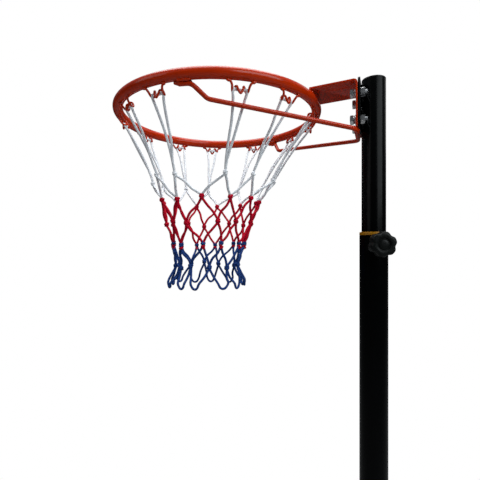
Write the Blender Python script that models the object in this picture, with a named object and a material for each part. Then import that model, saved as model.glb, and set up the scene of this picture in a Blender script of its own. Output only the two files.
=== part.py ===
"""Portable basketball hoop: a rim and net carried by a telescopic pole on a water-filled base.

The origin is on the pole's axis at floor level, +Z is up and the rim reaches out along -Y.
The head (rim, bracket and upper pole) slides and swivels in the lower pole, a lobed knob clamps it,
and two wheels under the front of the base carry the stand when it is tipped forward.
"""

import math

import bmesh
import bpy
from mathutils import Matrix, Vector

# Fits
GAP = 0.0003  # left between pieces that rest on each other
RUNNING = 0.0003  # radial clearance of what turns or slides
HOLE_CLEARANCE = 0.0003  # radial clearance round bolts and screws

# Rim and arm
RIM_TOP_HEIGHT = 2.440
RIM_INNER_DIAMETER = 0.446
RIM_BAR_DIAMETER = 0.022
ARM_REACH = 0.355  # pole axis to rim centre

# Poles
UPPER_POLE_DIAMETER = 0.0476
LOWER_POLE_DIAMETER = 0.056
TUBE_WALL = 0.0015
UPPER_POLE_LENGTH = 1.130
POLE_TOP_ABOVE_RIM = 0.0335
COLLAR_BELOW_RIM = 0.282
SECTION_JOINT_HEIGHT = 1.107  # where the middle section sits on the swaged end of the base section
SWAGE_LENGTH = 0.094
SWAGE_TAPER = 0.006
SWAGE_CLEARANCE = 0.0004

# Yellow collar bush in the mouth of the lower pole
COLLAR_FLANGE = 0.0065
COLLAR_SLEEVE = 0.060

# Clamp knob
CLAMP_BELOW_COLLAR = 0.025
CLAMP_AZIMUTH = math.radians(17)  # from +X towards +Y
STUD_DIAMETER = 0.010
BOSS_DIAMETER = 0.020
BOSS_LENGTH = 0.0110
PAD_THICKNESS = 0.0025
KNOB_DIAMETER = 0.050
KNOB_LOBES = 6
KNOB_NOTCH_DEPTH = 0.003
KNOB_REST_TURN = math.radians(20)
KNOB_DISH_DIAMETER = 0.026
KNOB_HUB_DIAMETER = 0.026
KNOB_HUB_LENGTH = 0.0025
KNOB_THICKNESS = 0.028

# Rivet that holds the bush, under the clamp
RIVET_BELOW_COLLAR = 0.0485
RIVET_RADIUS = 0.0016
RIVET_HEAD_RADIUS = 0.0033
RIVET_HEAD_HEIGHT = 0.0013

# Rim bracket (red) and pole bracket (black)
RIM_PLATE = 0.0035
POLE_PLATE = 0.0045
BRACKET_WIDTH = 0.095
TOP_PLATE_ABOVE_RIM = 0.0150  # underside of the top plate where it meets the rim
TOP_PLATE_RISE = 0.0040  # how much higher it is at its bend
BRACKET_BELOW_RIM = 0.0725
BEND_RADIUS = 0.008
LIP_OFFSET = 0.0045  # outer face of the top plate's folded lip, out from the rim's centreline
POLE_BRACKET_ABOVE_RIM = 0.026
BOLT_SPACING_X = 0.062
BOLT_ROW_TOP = -0.0010  # relative to the rim's centreline
BOLT_SPACING_Z = 0.0540

# Brace rod under the rim. Angles are round the rim from the pole's side: (end, start of S-bend, knee)
ROD_DIAMETER = 0.009
ROD_ANGLES_RIGHT = (82.5, 77.0, 69.8)
ROD_ANGLES_LEFT = (72.5, 69.5, 64.5)
ROD_KNEE_RADIUS = 0.2207
ROD_KNEE_DROP = 0.0415
ROD_CORNER_X = 0.0455
ROD_BEND_RADIUS = 0.014

# Net hooks and net
HOOK_ANGLES = (-3, 28, 54.5, 95.5, 120.5, 153.5, 184.5, 214, 239.5, 272.5, 308, 335)
HOOK_WIRE = 0.0045
NET_SHELL = 0.0015
NET_LEAN = 0.033  # how far the net's foot hangs out, away from the pole
NET_LEAN_POWER = 0.65  # below 1, so most of the lean is in the net's upper half
NET_PROFILE = (  # radius, drop below the rim's centreline
    (0.2105, 0.0385),
    (0.153, 0.158),
    (0.121, 0.205),
    (0.104, 0.257),
    (0.089, 0.310),
    (0.078, 0.360),
    (0.086, 0.413),
)

# Base tank
BASE_HALF_WIDTH = 0.280
BASE_FRONT = -0.130
BASE_BACK = 0.500
BASE_HEIGHT = 0.150
BASE_CORNER = 0.090
BASE_WALL = 0.004
NOSE_HALF_WIDTH = 0.185
NOSE_FRONT = -0.235
NOSE_HEIGHT = 0.118
NOSE_CORNER = 0.035
SOCKET_FLOOR = 0.012
SOCKET_TOP = 0.185
SOCKET_CLEARANCE = 0.0006
TOWER_TOP_RADIUS = 0.044
TOWER_FOOT_RADIUS = 0.062
WATER_TOP = 0.140
WATER_GAP = 0.001

# Filler
FILLER_Y = 0.405
FILLER_RADIUS = 0.020
FILLER_NECK_RADIUS = 0.030
FILLER_NECK_HEIGHT = 0.008

# Wheels
WHEEL_RADIUS = 0.055
WHEEL_WIDTH = 0.032
AXLE_DIAMETER = 0.010
AXLE_Y = -0.195
AXLE_HEIGHT = 0.060
WHEEL_SIDE_GAP = 0.004  # between the nose and the wheel
AXLE_CAP_RADIUS = 0.012
AXLE_CAP_LENGTH = 0.010

# Struts between pole and base
STRUT_DIAMETER = 0.014
STRUT_TOP_HEIGHT = 0.600
STRUT_FOOT = (0.190, 0.360)
STRUT_TAB = 0.004
STRUT_TAB_WIDTH = 0.026
PAD_RADIUS = 0.026
PAD_HEIGHT = 0.006

# Fasteners: shank radius, width across flats, head height, nut height
M10 = (0.005, 0.017, 0.0064, 0.0084)
M8 = (0.004, 0.013, 0.0053, 0.0065)
M6 = (0.003, 0.010, 0.0040, 0.0050)
WASHER_RADIUS = 0.0098
WASHER_THICKNESS = 0.0020
LOCK_WASHER_RADIUS = 0.0085
LOCK_WASHER_THICKNESS = 0.0025

# Worked out from the above
RIM_Z = RIM_TOP_HEIGHT - RIM_BAR_DIAMETER / 2
RIM_RADIUS = (RIM_INNER_DIAMETER + RIM_BAR_DIAMETER) / 2
RIM_SEGMENTS = 48
UPPER_R = UPPER_POLE_DIAMETER / 2
LOWER_R = LOWER_POLE_DIAMETER / 2
LOWER_BORE = LOWER_R - TUBE_WALL
COLLAR_TOP = RIM_Z - COLLAR_BELOW_RIM
CLAMP_Z = COLLAR_TOP - CLAMP_BELOW_COLLAR
POLE_TOP = RIM_Z + POLE_TOP_ABOVE_RIM
PLATE_BACK_Y = -(UPPER_R + GAP)  # the pole bracket's face on the pole
RIM_PLATE_BACK_Y = PLATE_BACK_Y - POLE_PLATE - GAP
RIM_PLATE_FRONT_Y = RIM_PLATE_BACK_Y - RIM_PLATE

COLOURS = {  # base colour, roughness, metallic
    "rim_red": ((0.55, 0.07, 0.02), 0.35, 0.0),
    "black_paint": ((0.012, 0.013, 0.015), 0.35, 0.0),
    "black_plastic": ((0.015, 0.015, 0.016), 0.5, 0.0),
    "yellow_plastic": ((0.80, 0.47, 0.02), 0.45, 0.0),
    "zinc": ((0.62, 0.63, 0.65), 0.3, 1.0),
    "net_cord": ((0.80, 0.82, 0.86), 0.8, 0.0),
    "nylon": ((0.75, 0.74, 0.70), 0.5, 0.0),
    "water": ((0.25, 0.45, 0.55), 0.1, 0.0),
}


def clear_scene():
    for obj in list(bpy.data.objects):
        bpy.data.objects.remove(obj, do_unlink=True)


def material(slot):
    found = bpy.data.materials.get(slot)
    if found:
        return found
    colour, roughness, metallic = COLOURS[slot]
    made = bpy.data.materials.new(slot)
    made.use_nodes = True
    shader = made.node_tree.nodes["Principled BSDF"]
    shader.inputs["Base Color"].default_value = (*colour, 1.0)
    shader.inputs["Roughness"].default_value = roughness
    shader.inputs["Metallic"].default_value = metallic
    return made


def empty(name, location=(0, 0, 0), parent=None, turn=0.0):
    obj = bpy.data.objects.new(name, None)
    bpy.context.scene.collection.objects.link(obj)
    obj.parent = parent
    obj.location = location
    obj.rotation_euler = (0, 0, turn)
    return obj


def place(obj, slot, parent, location, rotation):
    bpy.context.scene.collection.objects.link(obj)
    obj.parent = parent
    obj.location = location
    obj.rotation_euler = rotation
    if slot:
        obj.data.materials.append(material(slot))
    return obj


def mesh_piece(name, bm, slot=None, parent=None, location=(0, 0, 0), rotation=(0, 0, 0), smooth=True):
    """A mesh object made from bm, with its normals out and its round faces smooth."""
    bmesh.ops.recalc_face_normals(bm, faces=bm.faces)
    mesh = bpy.data.meshes.new(name)
    bm.to_mesh(mesh)
    bm.free()
    if smooth:
        mesh.shade_smooth()
        mesh.set_sharp_from_angle(angle=math.radians(35))
    return place(bpy.data.objects.new(name, mesh), slot, parent, location, rotation)


def helper(obj):
    """Marks a cutter or an addition that is used up by a Boolean."""
    obj.hide_render = True
    obj.display_type = "WIRE"
    return obj


def boolean(obj, other, operation):
    modifier = obj.modifiers.new(f"{operation.lower()} {other.name}", "BOOLEAN")
    modifier.operation = operation
    modifier.object = helper(other)
    modifier.solver = "EXACT"
    return obj


def cut(obj, other):
    return boolean(obj, other, "DIFFERENCE")


def join(obj, other):
    return boolean(obj, other, "UNION")


def turned(profile, segments, closed=False):
    """A bmesh turned about Z from (radius, z) points. An open profile starts and ends on the axis."""
    bm = bmesh.new()
    rings = []
    for radius, z in profile:
        if radius == 0:
            rings.append([bm.verts.new((0, 0, z))])
            continue
        angles = [2 * math.pi * i / segments for i in range(segments)]
        rings.append([bm.verts.new((radius * math.cos(a), radius * math.sin(a), z)) for a in angles])
    pairs = list(zip(rings, rings[1:]))
    if closed:
        pairs.append((rings[-1], rings[0]))
    for lower, upper in pairs:
        for i in range(segments):
            j = (i + 1) % segments
            corners = [lower[i % len(lower)], lower[j % len(lower)]]
            corners += [upper[j % len(upper)], upper[i % len(upper)]]
            bm.faces.new([v for k, v in enumerate(corners) if v not in corners[:k]])
    return bm


def cylinder(radius, low, high, segments=32):
    return turned([(0, low), (radius, low), (radius, high), (0, high)], segments)


def pipe(outer, inner, low, high, segments=32):
    return turned([(inner, low), (outer, low), (outer, high), (inner, high)], segments, closed=True)


def hexagon(width, low, high):
    """A hex head or nut blank with its corners chamfered."""
    corner = width / math.sqrt(3)
    chamfer = corner - width / 2
    side = [(0, low), (corner, low), (corner, high - chamfer / 2), (corner - chamfer, high), (0, high)]
    return turned(side, 6)


def box(low, high):
    bm = bmesh.new()
    size = Vector(high) - Vector(low)
    centre = (Vector(high) + Vector(low)) / 2
    bmesh.ops.create_cube(bm, size=1, matrix=Matrix.Translation(centre) @ Matrix.Diagonal((*size, 1)))
    return bm


def lofted(sections):
    """A closed bmesh through sections of equal length, with flat ends."""
    bm = bmesh.new()
    loops = [[bm.verts.new(p) for p in section] for section in sections]
    count = len(loops[0])
    for lower, upper in zip(loops, loops[1:]):
        for i in range(count):
            j = (i + 1) % count
            bm.faces.new((lower[i], lower[j], upper[j], upper[i]))
    bm.faces.new(list(reversed(loops[0])))
    bm.faces.new(loops[-1])
    return bm


def rounded_outline(half_width, front, back, corner, z, steps=6):
    """Points of a rounded rectangle, centred on X, at height z."""
    centres = (
        (half_width - corner, back - corner, 0),
        (-half_width + corner, back - corner, 90),
        (-half_width + corner, front + corner, 180),
        (half_width - corner, front + corner, 270),
    )
    points = []
    for x, y, start in centres:
        for i in range(steps + 1):
            a = math.radians(start + 90 * i / steps)
            points.append(Vector((x + corner * math.cos(a), y + corner * math.sin(a), z)))
    return points


def filleted(points, radius, steps=5):
    """The polyline through points, with an arc in place of each inner corner."""
    path = [points[0]]
    for before, corner, after in zip(points, points[1:], points[2:]):
        into, out = (before - corner).normalized(), (after - corner).normalized()
        half = into.angle(out) / 2
        back = radius / math.tan(half)
        middle = corner + (into + out).normalized() * (radius / math.sin(half))
        start, end = corner + into * back - middle, corner + out * back - middle
        axis = start.cross(end).normalized()
        sweep = start.angle(end)
        path += [middle + Matrix.Rotation(sweep * i / steps, 3, axis) @ start for i in range(steps + 1)]
    return path + [points[-1]]


def wire(name, points, diameter, slot, parent, resolution=2, location=(0, 0, 0), turn=0.0):
    """A round rod or wire bent along points."""
    curve = bpy.data.curves.new(name, "CURVE")
    curve.dimensions = "3D"
    curve.bevel_depth = diameter / 2
    curve.bevel_resolution = resolution
    curve.use_fill_caps = True
    spline = curve.splines.new("POLY")
    spline.points.add(len(points) - 1)
    for spot, p in zip(spline.points, points):
        spot.co = (*p, 1)
    return place(bpy.data.objects.new(name, curve), slot, parent, location, (0, 0, turn))


def bolt(name, size, grip, parent, location, rotation, washer=0.0):
    """A hex bolt whose head rests on z=0, or on a washer, and whose shank runs down to -grip."""
    shank, across, head, _ = size
    rest = washer + GAP
    bm = hexagon(across, rest, rest + head)
    shaft = turned([(0, -grip), (shank, -grip), (shank, rest + head / 2), (0, rest + head / 2)], 16)
    body = mesh_piece(name, bm, "zinc", parent, location, rotation)
    return join(body, mesh_piece(name + "_shank", shaft, None, parent, location, rotation))


def washer(name, radius, bore, low, thickness, parent, location, rotation):
    ring = pipe(radius, bore + HOLE_CLEARANCE, low, low + thickness, 20)
    return mesh_piece(name, ring, "zinc", parent, location, rotation)


def nut(name, size, parent, location, rotation):
    """A hex nut standing on z=0."""
    shank, across, _, height = size
    body = mesh_piece(name, hexagon(across, GAP, GAP + height), "zinc", parent, location, rotation)
    bore = cylinder(shank + HOLE_CLEARANCE, -GAP, height + 3 * GAP, 16)
    return cut(body, mesh_piece(name + "_bore", bore, None, parent, location, rotation))


TO_X = (0, math.pi / 2, 0)  # turns a piece made along +Z to run along +X
TO_MINUS_X = (0, -math.pi / 2, 0)
TO_Y = (-math.pi / 2, 0, 0)
TO_MINUS_Y = (math.pi / 2, 0, 0)


# --- Base -------------------------------------------------------------------------------------


def tank_solid(inset, top):
    """The tank's outer form, or a smaller copy of it that stays inset inside."""
    levels = (  # height, how far the side leans in
        (inset, 0.003),
        (inset + 0.004, 0.0),
        (0.090, 0.010),
        (top - 0.015, 0.018),
        (top - 0.004, 0.024),
        (top, 0.034),
    )
    sections = []
    for z, lean in levels:
        shrink = inset + lean
        front, back = BASE_FRONT + shrink, BASE_BACK - shrink
        sections.append(rounded_outline(BASE_HALF_WIDTH - shrink, front, back, BASE_CORNER - shrink, z))
    return lofted(sections)


def keep_clear_of_fittings(obj, extra):
    """Cuts the pole socket and the strut bosses, grown by extra, out of what fills the tank."""
    socket = cylinder(LOWER_R + SOCKET_CLEARANCE + extra, -0.01, BASE_HEIGHT + 0.05)
    cut(obj, mesh_piece(obj.name + "_socket_core", socket))
    for side in (-1, 1):
        boss = cylinder(M8[0] + HOLE_CLEARANCE + BASE_WALL + extra, 0.095, BASE_HEIGHT + 0.05, 20)
        location = (side * STRUT_FOOT[0], STRUT_FOOT[1], 0)
        cut(obj, mesh_piece(f"{obj.name}_boss_core_{side}", boss, location=location))
    return obj


def make_tank(stand):
    tank = mesh_piece("base_tank", tank_solid(0.0, BASE_HEIGHT), "black_plastic", stand)
    nose_levels = ((0.0, 0.002), (0.004, 0.0), (NOSE_HEIGHT - 0.012, 0.004), (NOSE_HEIGHT, 0.014))
    nose = lofted(
        [
            rounded_outline(NOSE_HALF_WIDTH - s, NOSE_FRONT + s, BASE_FRONT + 0.05, NOSE_CORNER - s, z)
            for z, s in nose_levels
        ]
    )
    join(tank, mesh_piece("nose", nose))
    tower = turned([(0, 0.10), (TOWER_FOOT_RADIUS, 0.10), (TOWER_FOOT_RADIUS, BASE_HEIGHT),
                    (TOWER_TOP_RADIUS, SOCKET_TOP - 0.006), (TOWER_TOP_RADIUS - 0.004, SOCKET_TOP),
                    (0, SOCKET_TOP)], 32)
    join(tank, mesh_piece("tower", tower))
    for side in (-1, 1):
        location = (side * STRUT_FOOT[0], STRUT_FOOT[1], 0)
        pad = cylinder(PAD_RADIUS, BASE_HEIGHT - 0.01, BASE_HEIGHT + PAD_HEIGHT, 24)
        join(tank, mesh_piece(f"strut_pad_{side}", pad, location=location))
    neck = cylinder(FILLER_NECK_RADIUS, BASE_HEIGHT - 0.01, BASE_HEIGHT + FILLER_NECK_HEIGHT, 32)
    join(tank, mesh_piece("filler_neck", neck, location=(0, FILLER_Y, 0)))

    cavity = mesh_piece("tank_cavity", tank_solid(BASE_WALL, BASE_HEIGHT - BASE_WALL))
    cut(tank, keep_clear_of_fittings(cavity, BASE_WALL))
    pocket_high = (NOSE_HALF_WIDTH - 3 * BASE_WALL, BASE_FRONT - BASE_WALL, NOSE_HEIGHT - BASE_WALL)
    pocket_low = (-pocket_high[0], NOSE_FRONT + 3 * BASE_WALL, -0.01)
    cut(tank, mesh_piece("nose_pocket", box(pocket_low, pocket_high), smooth=False))
    socket = cylinder(LOWER_R + SOCKET_CLEARANCE, SOCKET_FLOOR, SOCKET_TOP + 0.01)
    cut(tank, mesh_piece("socket", socket))
    filler = cylinder(FILLER_RADIUS, BASE_HEIGHT - 2 * BASE_WALL, BASE_HEIGHT + 0.02, 28)
    cut(tank, mesh_piece("filler_hole", filler, location=(0, FILLER_Y, 0)))
    axle = cylinder(AXLE_DIAMETER / 2 + RUNNING, -NOSE_HALF_WIDTH - 0.01, NOSE_HALF_WIDTH + 0.01, 20)
    cut(tank, mesh_piece("axle_bore", axle, location=(0, AXLE_Y, AXLE_HEIGHT), rotation=TO_X))
    for side in (-1, 1):
        location = (side * STRUT_FOOT[0], STRUT_FOOT[1], 0)
        hole = cylinder(M8[0] + HOLE_CLEARANCE, BASE_HEIGHT - 0.030, BASE_HEIGHT + 0.02, 16)
        cut(tank, mesh_piece(f"strut_screw_hole_{side}", hole, location=location))

    water = mesh_piece("ballast_water", tank_solid(BASE_WALL + WATER_GAP, WATER_TOP), "water", stand)
    keep_clear_of_fittings(water, BASE_WALL + WATER_GAP)


def make_filler_plug(stand):
    """A push-in bung with a bar to pull it by."""
    seat = BASE_HEIGHT + FILLER_NECK_HEIGHT + GAP
    stem = FILLER_RADIUS - RUNNING
    profile = [(0, seat - 0.014), (stem - 0.002, seat - 0.014), (stem, seat - 0.012), (stem, seat),
               (FILLER_NECK_RADIUS - 0.003, seat), (FILLER_NECK_RADIUS - 0.003, seat + 0.004),
               (FILLER_NECK_RADIUS - 0.005, seat + 0.006), (0, seat + 0.006)]
    plug = mesh_piece("filler_plug", turned(profile, 32), "black_plastic", stand, (0, FILLER_Y, 0))
    grip = box((-0.018, -0.004, seat + 0.004), (0.018, 0.004, seat + 0.014))
    join(plug, mesh_piece("plug_grip", grip, location=(0, FILLER_Y, 0), smooth=False))


def make_wheels(stand):
    inner_face = NOSE_HALF_WIDTH + WHEEL_SIDE_GAP
    reach = inner_face + WHEEL_WIDTH + AXLE_CAP_LENGTH - 0.003
    axle = cylinder(AXLE_DIAMETER / 2, -reach, reach, 20)
    mesh_piece("wheel_axle", axle, "zinc", stand, (0, AXLE_Y, AXLE_HEIGHT), TO_X)
    bore = AXLE_DIAMETER / 2 + RUNNING
    tread = [(WHEEL_RADIUS - 0.004, 0), (WHEEL_RADIUS, 0.005), (WHEEL_RADIUS, WHEEL_WIDTH - 0.005),
             (WHEEL_RADIUS - 0.004, WHEEL_WIDTH)]
    dish = [(WHEEL_RADIUS - 0.012, WHEEL_WIDTH), (WHEEL_RADIUS - 0.014, WHEEL_WIDTH - 0.008),
            (0.018, WHEEL_WIDTH - 0.008), (0.016, WHEEL_WIDTH), (bore, WHEEL_WIDTH), (bore, 0)]
    for name, side in (("left", -1), ("right", 1)):
        rotation = TO_X if side > 0 else TO_MINUS_X
        location = (side * inner_face, AXLE_Y, AXLE_HEIGHT)
        wheel = turned(tread + dish, 36, closed=True)
        mesh_piece(f"wheel_{name}", wheel, "black_plastic", stand, location, rotation)
        seat = WHEEL_WIDTH + GAP
        end = seat + AXLE_CAP_LENGTH
        cap = [(0, end - 0.002), (bore, end - 0.002), (bore, seat), (AXLE_CAP_RADIUS, seat),
               (AXLE_CAP_RADIUS - 0.002, end - 0.003), (AXLE_CAP_RADIUS - 0.006, end), (0, end)]
        mesh_piece(f"axle_cap_{name}", turned(cap, 24), "zinc", stand, location, rotation)


# --- Lower pole and struts --------------------------------------------------------------------


def make_lower_poles(stand):
    swage_r = LOWER_BORE - SWAGE_CLEARANCE
    foot = SOCKET_FLOOR + GAP
    shoulder = SECTION_JOINT_HEIGHT - SWAGE_TAPER - 0.001
    top = SECTION_JOINT_HEIGHT + SWAGE_LENGTH
    outside = [(LOWER_R, foot), (LOWER_R, shoulder), (swage_r, shoulder + SWAGE_TAPER), (swage_r, top)]
    inside = [(r - TUBE_WALL, z) for r, z in reversed(outside)]
    base_pole = mesh_piece("base_pole", turned(outside + inside, 32, closed=True), "black_paint", stand)
    through = cylinder(M8[0] + HOLE_CLEARANCE, -LOWER_R - 0.01, LOWER_R + 0.01, 16)
    bolt_place = (0, 0, STRUT_TOP_HEIGHT)
    cut(base_pole, mesh_piece("strut_bolt_hole", through, location=bolt_place, rotation=TO_X))

    mid_top = COLLAR_TOP - COLLAR_FLANGE - GAP
    tube = pipe(LOWER_R, LOWER_BORE, SECTION_JOINT_HEIGHT, mid_top)
    mid_pole = mesh_piece("mid_pole", tube, "black_paint", stand)
    screw_z = SECTION_JOINT_HEIGHT + SWAGE_LENGTH / 2
    for pole in (base_pole, mid_pole):
        hole = cylinder(M6[0] + HOLE_CLEARANCE, 0.010, LOWER_R + 0.01, 16)
        cut(pole, mesh_piece(pole.name + "_screw_hole", hole, location=(0, 0, screw_z), rotation=TO_Y))
    bolt("section_screw", M6, 0.008, stand, (0, LOWER_R, screw_z), TO_Y)
    return mid_pole


def strut_section(centre, along, normal, half_width, half_thick, count=12):
    """A closed loop of points round centre, across the direction along."""
    normal = (normal - along * normal.dot(along)).normalized()
    side = along.cross(normal)
    loop = []
    for i in range(count):
        a = 2 * math.pi * i / count
        flat = min(half_thick / half_width, 1.0)
        lift = math.sin(a) if flat == 1.0 else max(-1.0, min(1.0, 1.6 * math.sin(a)))
        loop.append(centre + side * (half_width * math.cos(a)) + normal * (half_thick * lift))
    return loop


def make_strut(stand, name, side):
    """A round rod with both ends pressed flat, from the side of the pole to the back of the base."""
    top = Vector((side * (LOWER_R + GAP + STRUT_TAB / 2), 0, STRUT_TOP_HEIGHT))
    foot_z = BASE_HEIGHT + PAD_HEIGHT + GAP + STRUT_TAB / 2
    foot = Vector((side * STRUT_FOOT[0], STRUT_FOOT[1], foot_z))
    span = foot - top
    down = Vector((0, span.y, span.z)).normalized()
    out = Vector((span.x, span.y, 0)).normalized()
    across, lying = Vector((1, 0, 0)), Vector((0, 0, 1))
    half_tab, round_r = STRUT_TAB_WIDTH / 2, STRUT_DIAMETER / 2
    start, end = top + down * 0.045, foot - out * 0.045 + lying * 0.006
    run = (end - start).normalized()
    sections = [
        strut_section(top - down * 0.013, down, across, half_tab, STRUT_TAB / 2),
        strut_section(top + down * 0.018, down, across, half_tab, STRUT_TAB / 2),
    ]
    steps = 8
    for i in range(steps + 1):
        blend = across.lerp(lying, i / steps)
        sections.append(strut_section(start.lerp(end, i / steps), run, blend, round_r, round_r))
    sections += [
        strut_section(foot - out * 0.018, out, lying, half_tab, STRUT_TAB / 2),
        strut_section(foot + out * 0.013, out, lying, half_tab, STRUT_TAB / 2),
    ]
    strut = mesh_piece(name, lofted(sections), "black_paint", stand)
    hole = M8[0] + HOLE_CLEARANCE
    for part, spot, rotation in (("top", top, TO_X), ("foot", foot, (0, 0, 0))):
        bit = cylinder(hole, -0.02, 0.02, 16)
        cut(strut, mesh_piece(f"{name}_{part}_hole", bit, location=spot, rotation=rotation))


def make_struts(stand):
    face = LOWER_R + 2 * GAP + STRUT_TAB
    for name, side in (("left", -1), ("right", 1)):
        make_strut(stand, f"strut_{name}", side)
        location = (side * STRUT_FOOT[0], STRUT_FOOT[1], BASE_HEIGHT + PAD_HEIGHT + 2 * GAP + STRUT_TAB)
        bolt(f"strut_foot_bolt_{name}", M8, 0.028, stand, location, (0, 0, 0))
    grip = 2 * face + GAP + M8[3] + 0.004
    bolt("strut_top_bolt", M8, grip, stand, (-face, 0, STRUT_TOP_HEIGHT), TO_MINUS_X)
    nut("strut_top_nut", M8, stand, (face, 0, STRUT_TOP_HEIGHT), TO_X)


# --- Collar and clamp -------------------------------------------------------------------------


def make_collar(stand, mid_pole, clamp):
    """The plastic bush that lines the mouth of the lower pole, and the holes for the clamp."""
    flange_low = COLLAR_TOP - COLLAR_FLANGE
    sleeve_r = LOWER_BORE - GAP
    bore = UPPER_R + RUNNING
    foot = flange_low - COLLAR_SLEEVE
    profile = [(bore, foot), (sleeve_r, foot), (sleeve_r, flange_low), (LOWER_R, flange_low),
               (LOWER_R, COLLAR_TOP - 0.001), (LOWER_R - 0.001, COLLAR_TOP), (bore, COLLAR_TOP)]
    bush = mesh_piece("collar_bush", turned(profile, 32, closed=True), "yellow_plastic", stand)
    drop = (0, 0, CLAMP_BELOW_COLLAR - RIVET_BELOW_COLLAR)
    for obj in (bush, mid_pole):
        hole = cylinder(STUD_DIAMETER / 2 + RUNNING, 0.010, LOWER_R + 0.01, 20)
        cut(obj, mesh_piece(obj.name + "_clamp_hole", hole, parent=clamp, rotation=TO_X))
        rivet_hole = cylinder(RIVET_RADIUS + GAP, 0.010, LOWER_R + 0.01, 16)
        cut(obj, mesh_piece(obj.name + "_rivet_hole", rivet_hole, None, clamp, drop, TO_X))
    inner, outer = UPPER_R + RUNNING + GAP, LOWER_R + GAP
    rivet = [(0, inner), (RIVET_RADIUS, inner), (RIVET_RADIUS, outer), (RIVET_HEAD_RADIUS, outer),
             (RIVET_HEAD_RADIUS * 0.8, outer + RIVET_HEAD_HEIGHT * 0.7), (0, outer + RIVET_HEAD_HEIGHT)]
    mesh_piece("bush_rivet", turned(rivet, 16), "black_paint", clamp, drop, TO_X)


def make_clamp(clamp):
    """Boss on the pole, pressure pad, threaded stud and lobed knob, all along the clamp's own +X."""
    bore = STUD_DIAMETER / 2 + RUNNING
    boss_end = LOWER_R + BOSS_LENGTH
    boss_profile = [(bore, 0.015), (BOSS_DIAMETER / 2, 0.015), (BOSS_DIAMETER / 2, boss_end - 0.001),
                    (BOSS_DIAMETER / 2 - 0.001, boss_end), (bore, boss_end)]
    boss_solid = turned(boss_profile, 28, closed=True)
    boss = mesh_piece("clamp_boss", boss_solid, "black_paint", clamp, rotation=TO_X)
    tube = cylinder(LOWER_R + GAP, -0.03, 0.03)
    cut(boss, mesh_piece("boss_saddle", tube, parent=clamp))

    pad_start = UPPER_R + GAP
    pad_end = pad_start + PAD_THICKNESS
    pad = cylinder(STUD_DIAMETER / 2 - 0.0005, pad_start, pad_end, 20)
    mesh_piece("clamp_pad", pad, "nylon", clamp, rotation=TO_X)

    hub_start = boss_end + 0.0005
    face = hub_start + KNOB_HUB_LENGTH
    front = face + KNOB_THICKNESS
    stud_r = STUD_DIAMETER / 2
    stud_end = front - 0.006
    stud = turned([(0, pad_end + GAP), (stud_r - 0.001, pad_end + GAP), (stud_r, pad_end + GAP + 0.001),
                   (stud_r, stud_end), (0, stud_end)], 20)
    mesh_piece("clamp_stud", stud, "zinc", clamp, rotation=TO_X)

    knob = mesh_piece("clamp_knob", lobed_head(face, front), "black_plastic", clamp, rotation=TO_X)
    hub = cylinder(KNOB_HUB_DIAMETER / 2, hub_start, face + 0.004, 28)
    join(knob, mesh_piece("knob_hub", hub, parent=clamp, rotation=TO_X))
    socket = cylinder(stud_r + GAP, hub_start - 0.01, stud_end + GAP, 20)
    cut(knob, mesh_piece("knob_socket", socket, parent=clamp, rotation=TO_X))


def lobed_head(low, high, points_per_lobe=8):
    """The grip: broad lobes parted by narrow notches, with a round dish in its front."""
    radius = KNOB_DIAMETER / 2
    dish = KNOB_DISH_DIAMETER / 2
    levels = (  # height, distance in from the lobes' tops, or the dish's radius
        (low, 0.0040, None),
        (low + 0.003, 0.0008, None),
        (low + 0.006, 0.0, None),
        (high - 0.006, 0.0, None),
        (high - 0.002, 0.0010, None),
        (high, 0.0035, None),
        (high - 0.0005, None, dish),
        (high - 0.0035, None, dish - 0.001),
    )
    count = KNOB_LOBES * points_per_lobe
    sections = []
    for z, inset, plain in levels:
        loop = []
        for i in range(count):
            a = 2 * math.pi * i / count
            notch = (0.5 + 0.5 * math.cos(KNOB_LOBES * (a - KNOB_REST_TURN))) ** 2 * KNOB_NOTCH_DEPTH
            r = plain or radius - inset - notch
            loop.append(Vector((r * math.cos(a), r * math.sin(a), z)))
        sections.append(loop)
    return lofted(sections)


# --- Head: upper pole, brackets, rim and net --------------------------------------------------


def make_upper_pole(stand, head):
    cap_head = 0.0025
    top = POLE_TOP - cap_head - GAP
    bottom = top - UPPER_POLE_LENGTH
    bore = UPPER_R - TUBE_WALL
    mesh_piece("upper_pole", pipe(UPPER_R, bore, bottom - RIM_Z, top - RIM_Z), "black_paint", head)
    seat = top + GAP - RIM_Z
    stem = bore - GAP
    cap = [(0, seat - 0.020), (stem - 0.001, seat - 0.020), (stem, seat - 0.018), (stem, seat),
           (UPPER_R, seat), (UPPER_R, seat + cap_head - 0.0012), (UPPER_R - 0.0012, seat + cap_head),
           (0, seat + cap_head)]
    mesh_piece("pole_cap", turned(cap, 32), "black_plastic", head)

    collar_r = LOWER_BORE - GAP
    low = bottom - GAP
    guide = [(0, low - 0.030), (collar_r - 0.002, low - 0.030), (collar_r, low - 0.028), (collar_r, low),
             (bore - RUNNING, low), (bore - RUNNING, low + 0.038), (bore - RUNNING - 0.002, low + 0.040),
             (0, low + 0.040)]
    mesh_piece("upper_guide", turned(guide, 32), "nylon", stand)


def bolt_spots():
    """(x, z) of the four bracket bolts, z from the rim's centreline."""
    half = BOLT_SPACING_X / 2
    rows = (BOLT_ROW_TOP, BOLT_ROW_TOP - BOLT_SPACING_Z)
    return [(side * half, z) for z in rows for side in (1, -1)]


def drill(obj, head):
    for n, (x, z) in enumerate(bolt_spots(), 1):
        hole = cylinder(M10[0] + HOLE_CLEARANCE, 0.0, 0.050, 16)
        cut(obj, mesh_piece(f"{obj.name}_hole_{n}", hole, None, head, (x, -0.005, z), TO_MINUS_Y))


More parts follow.
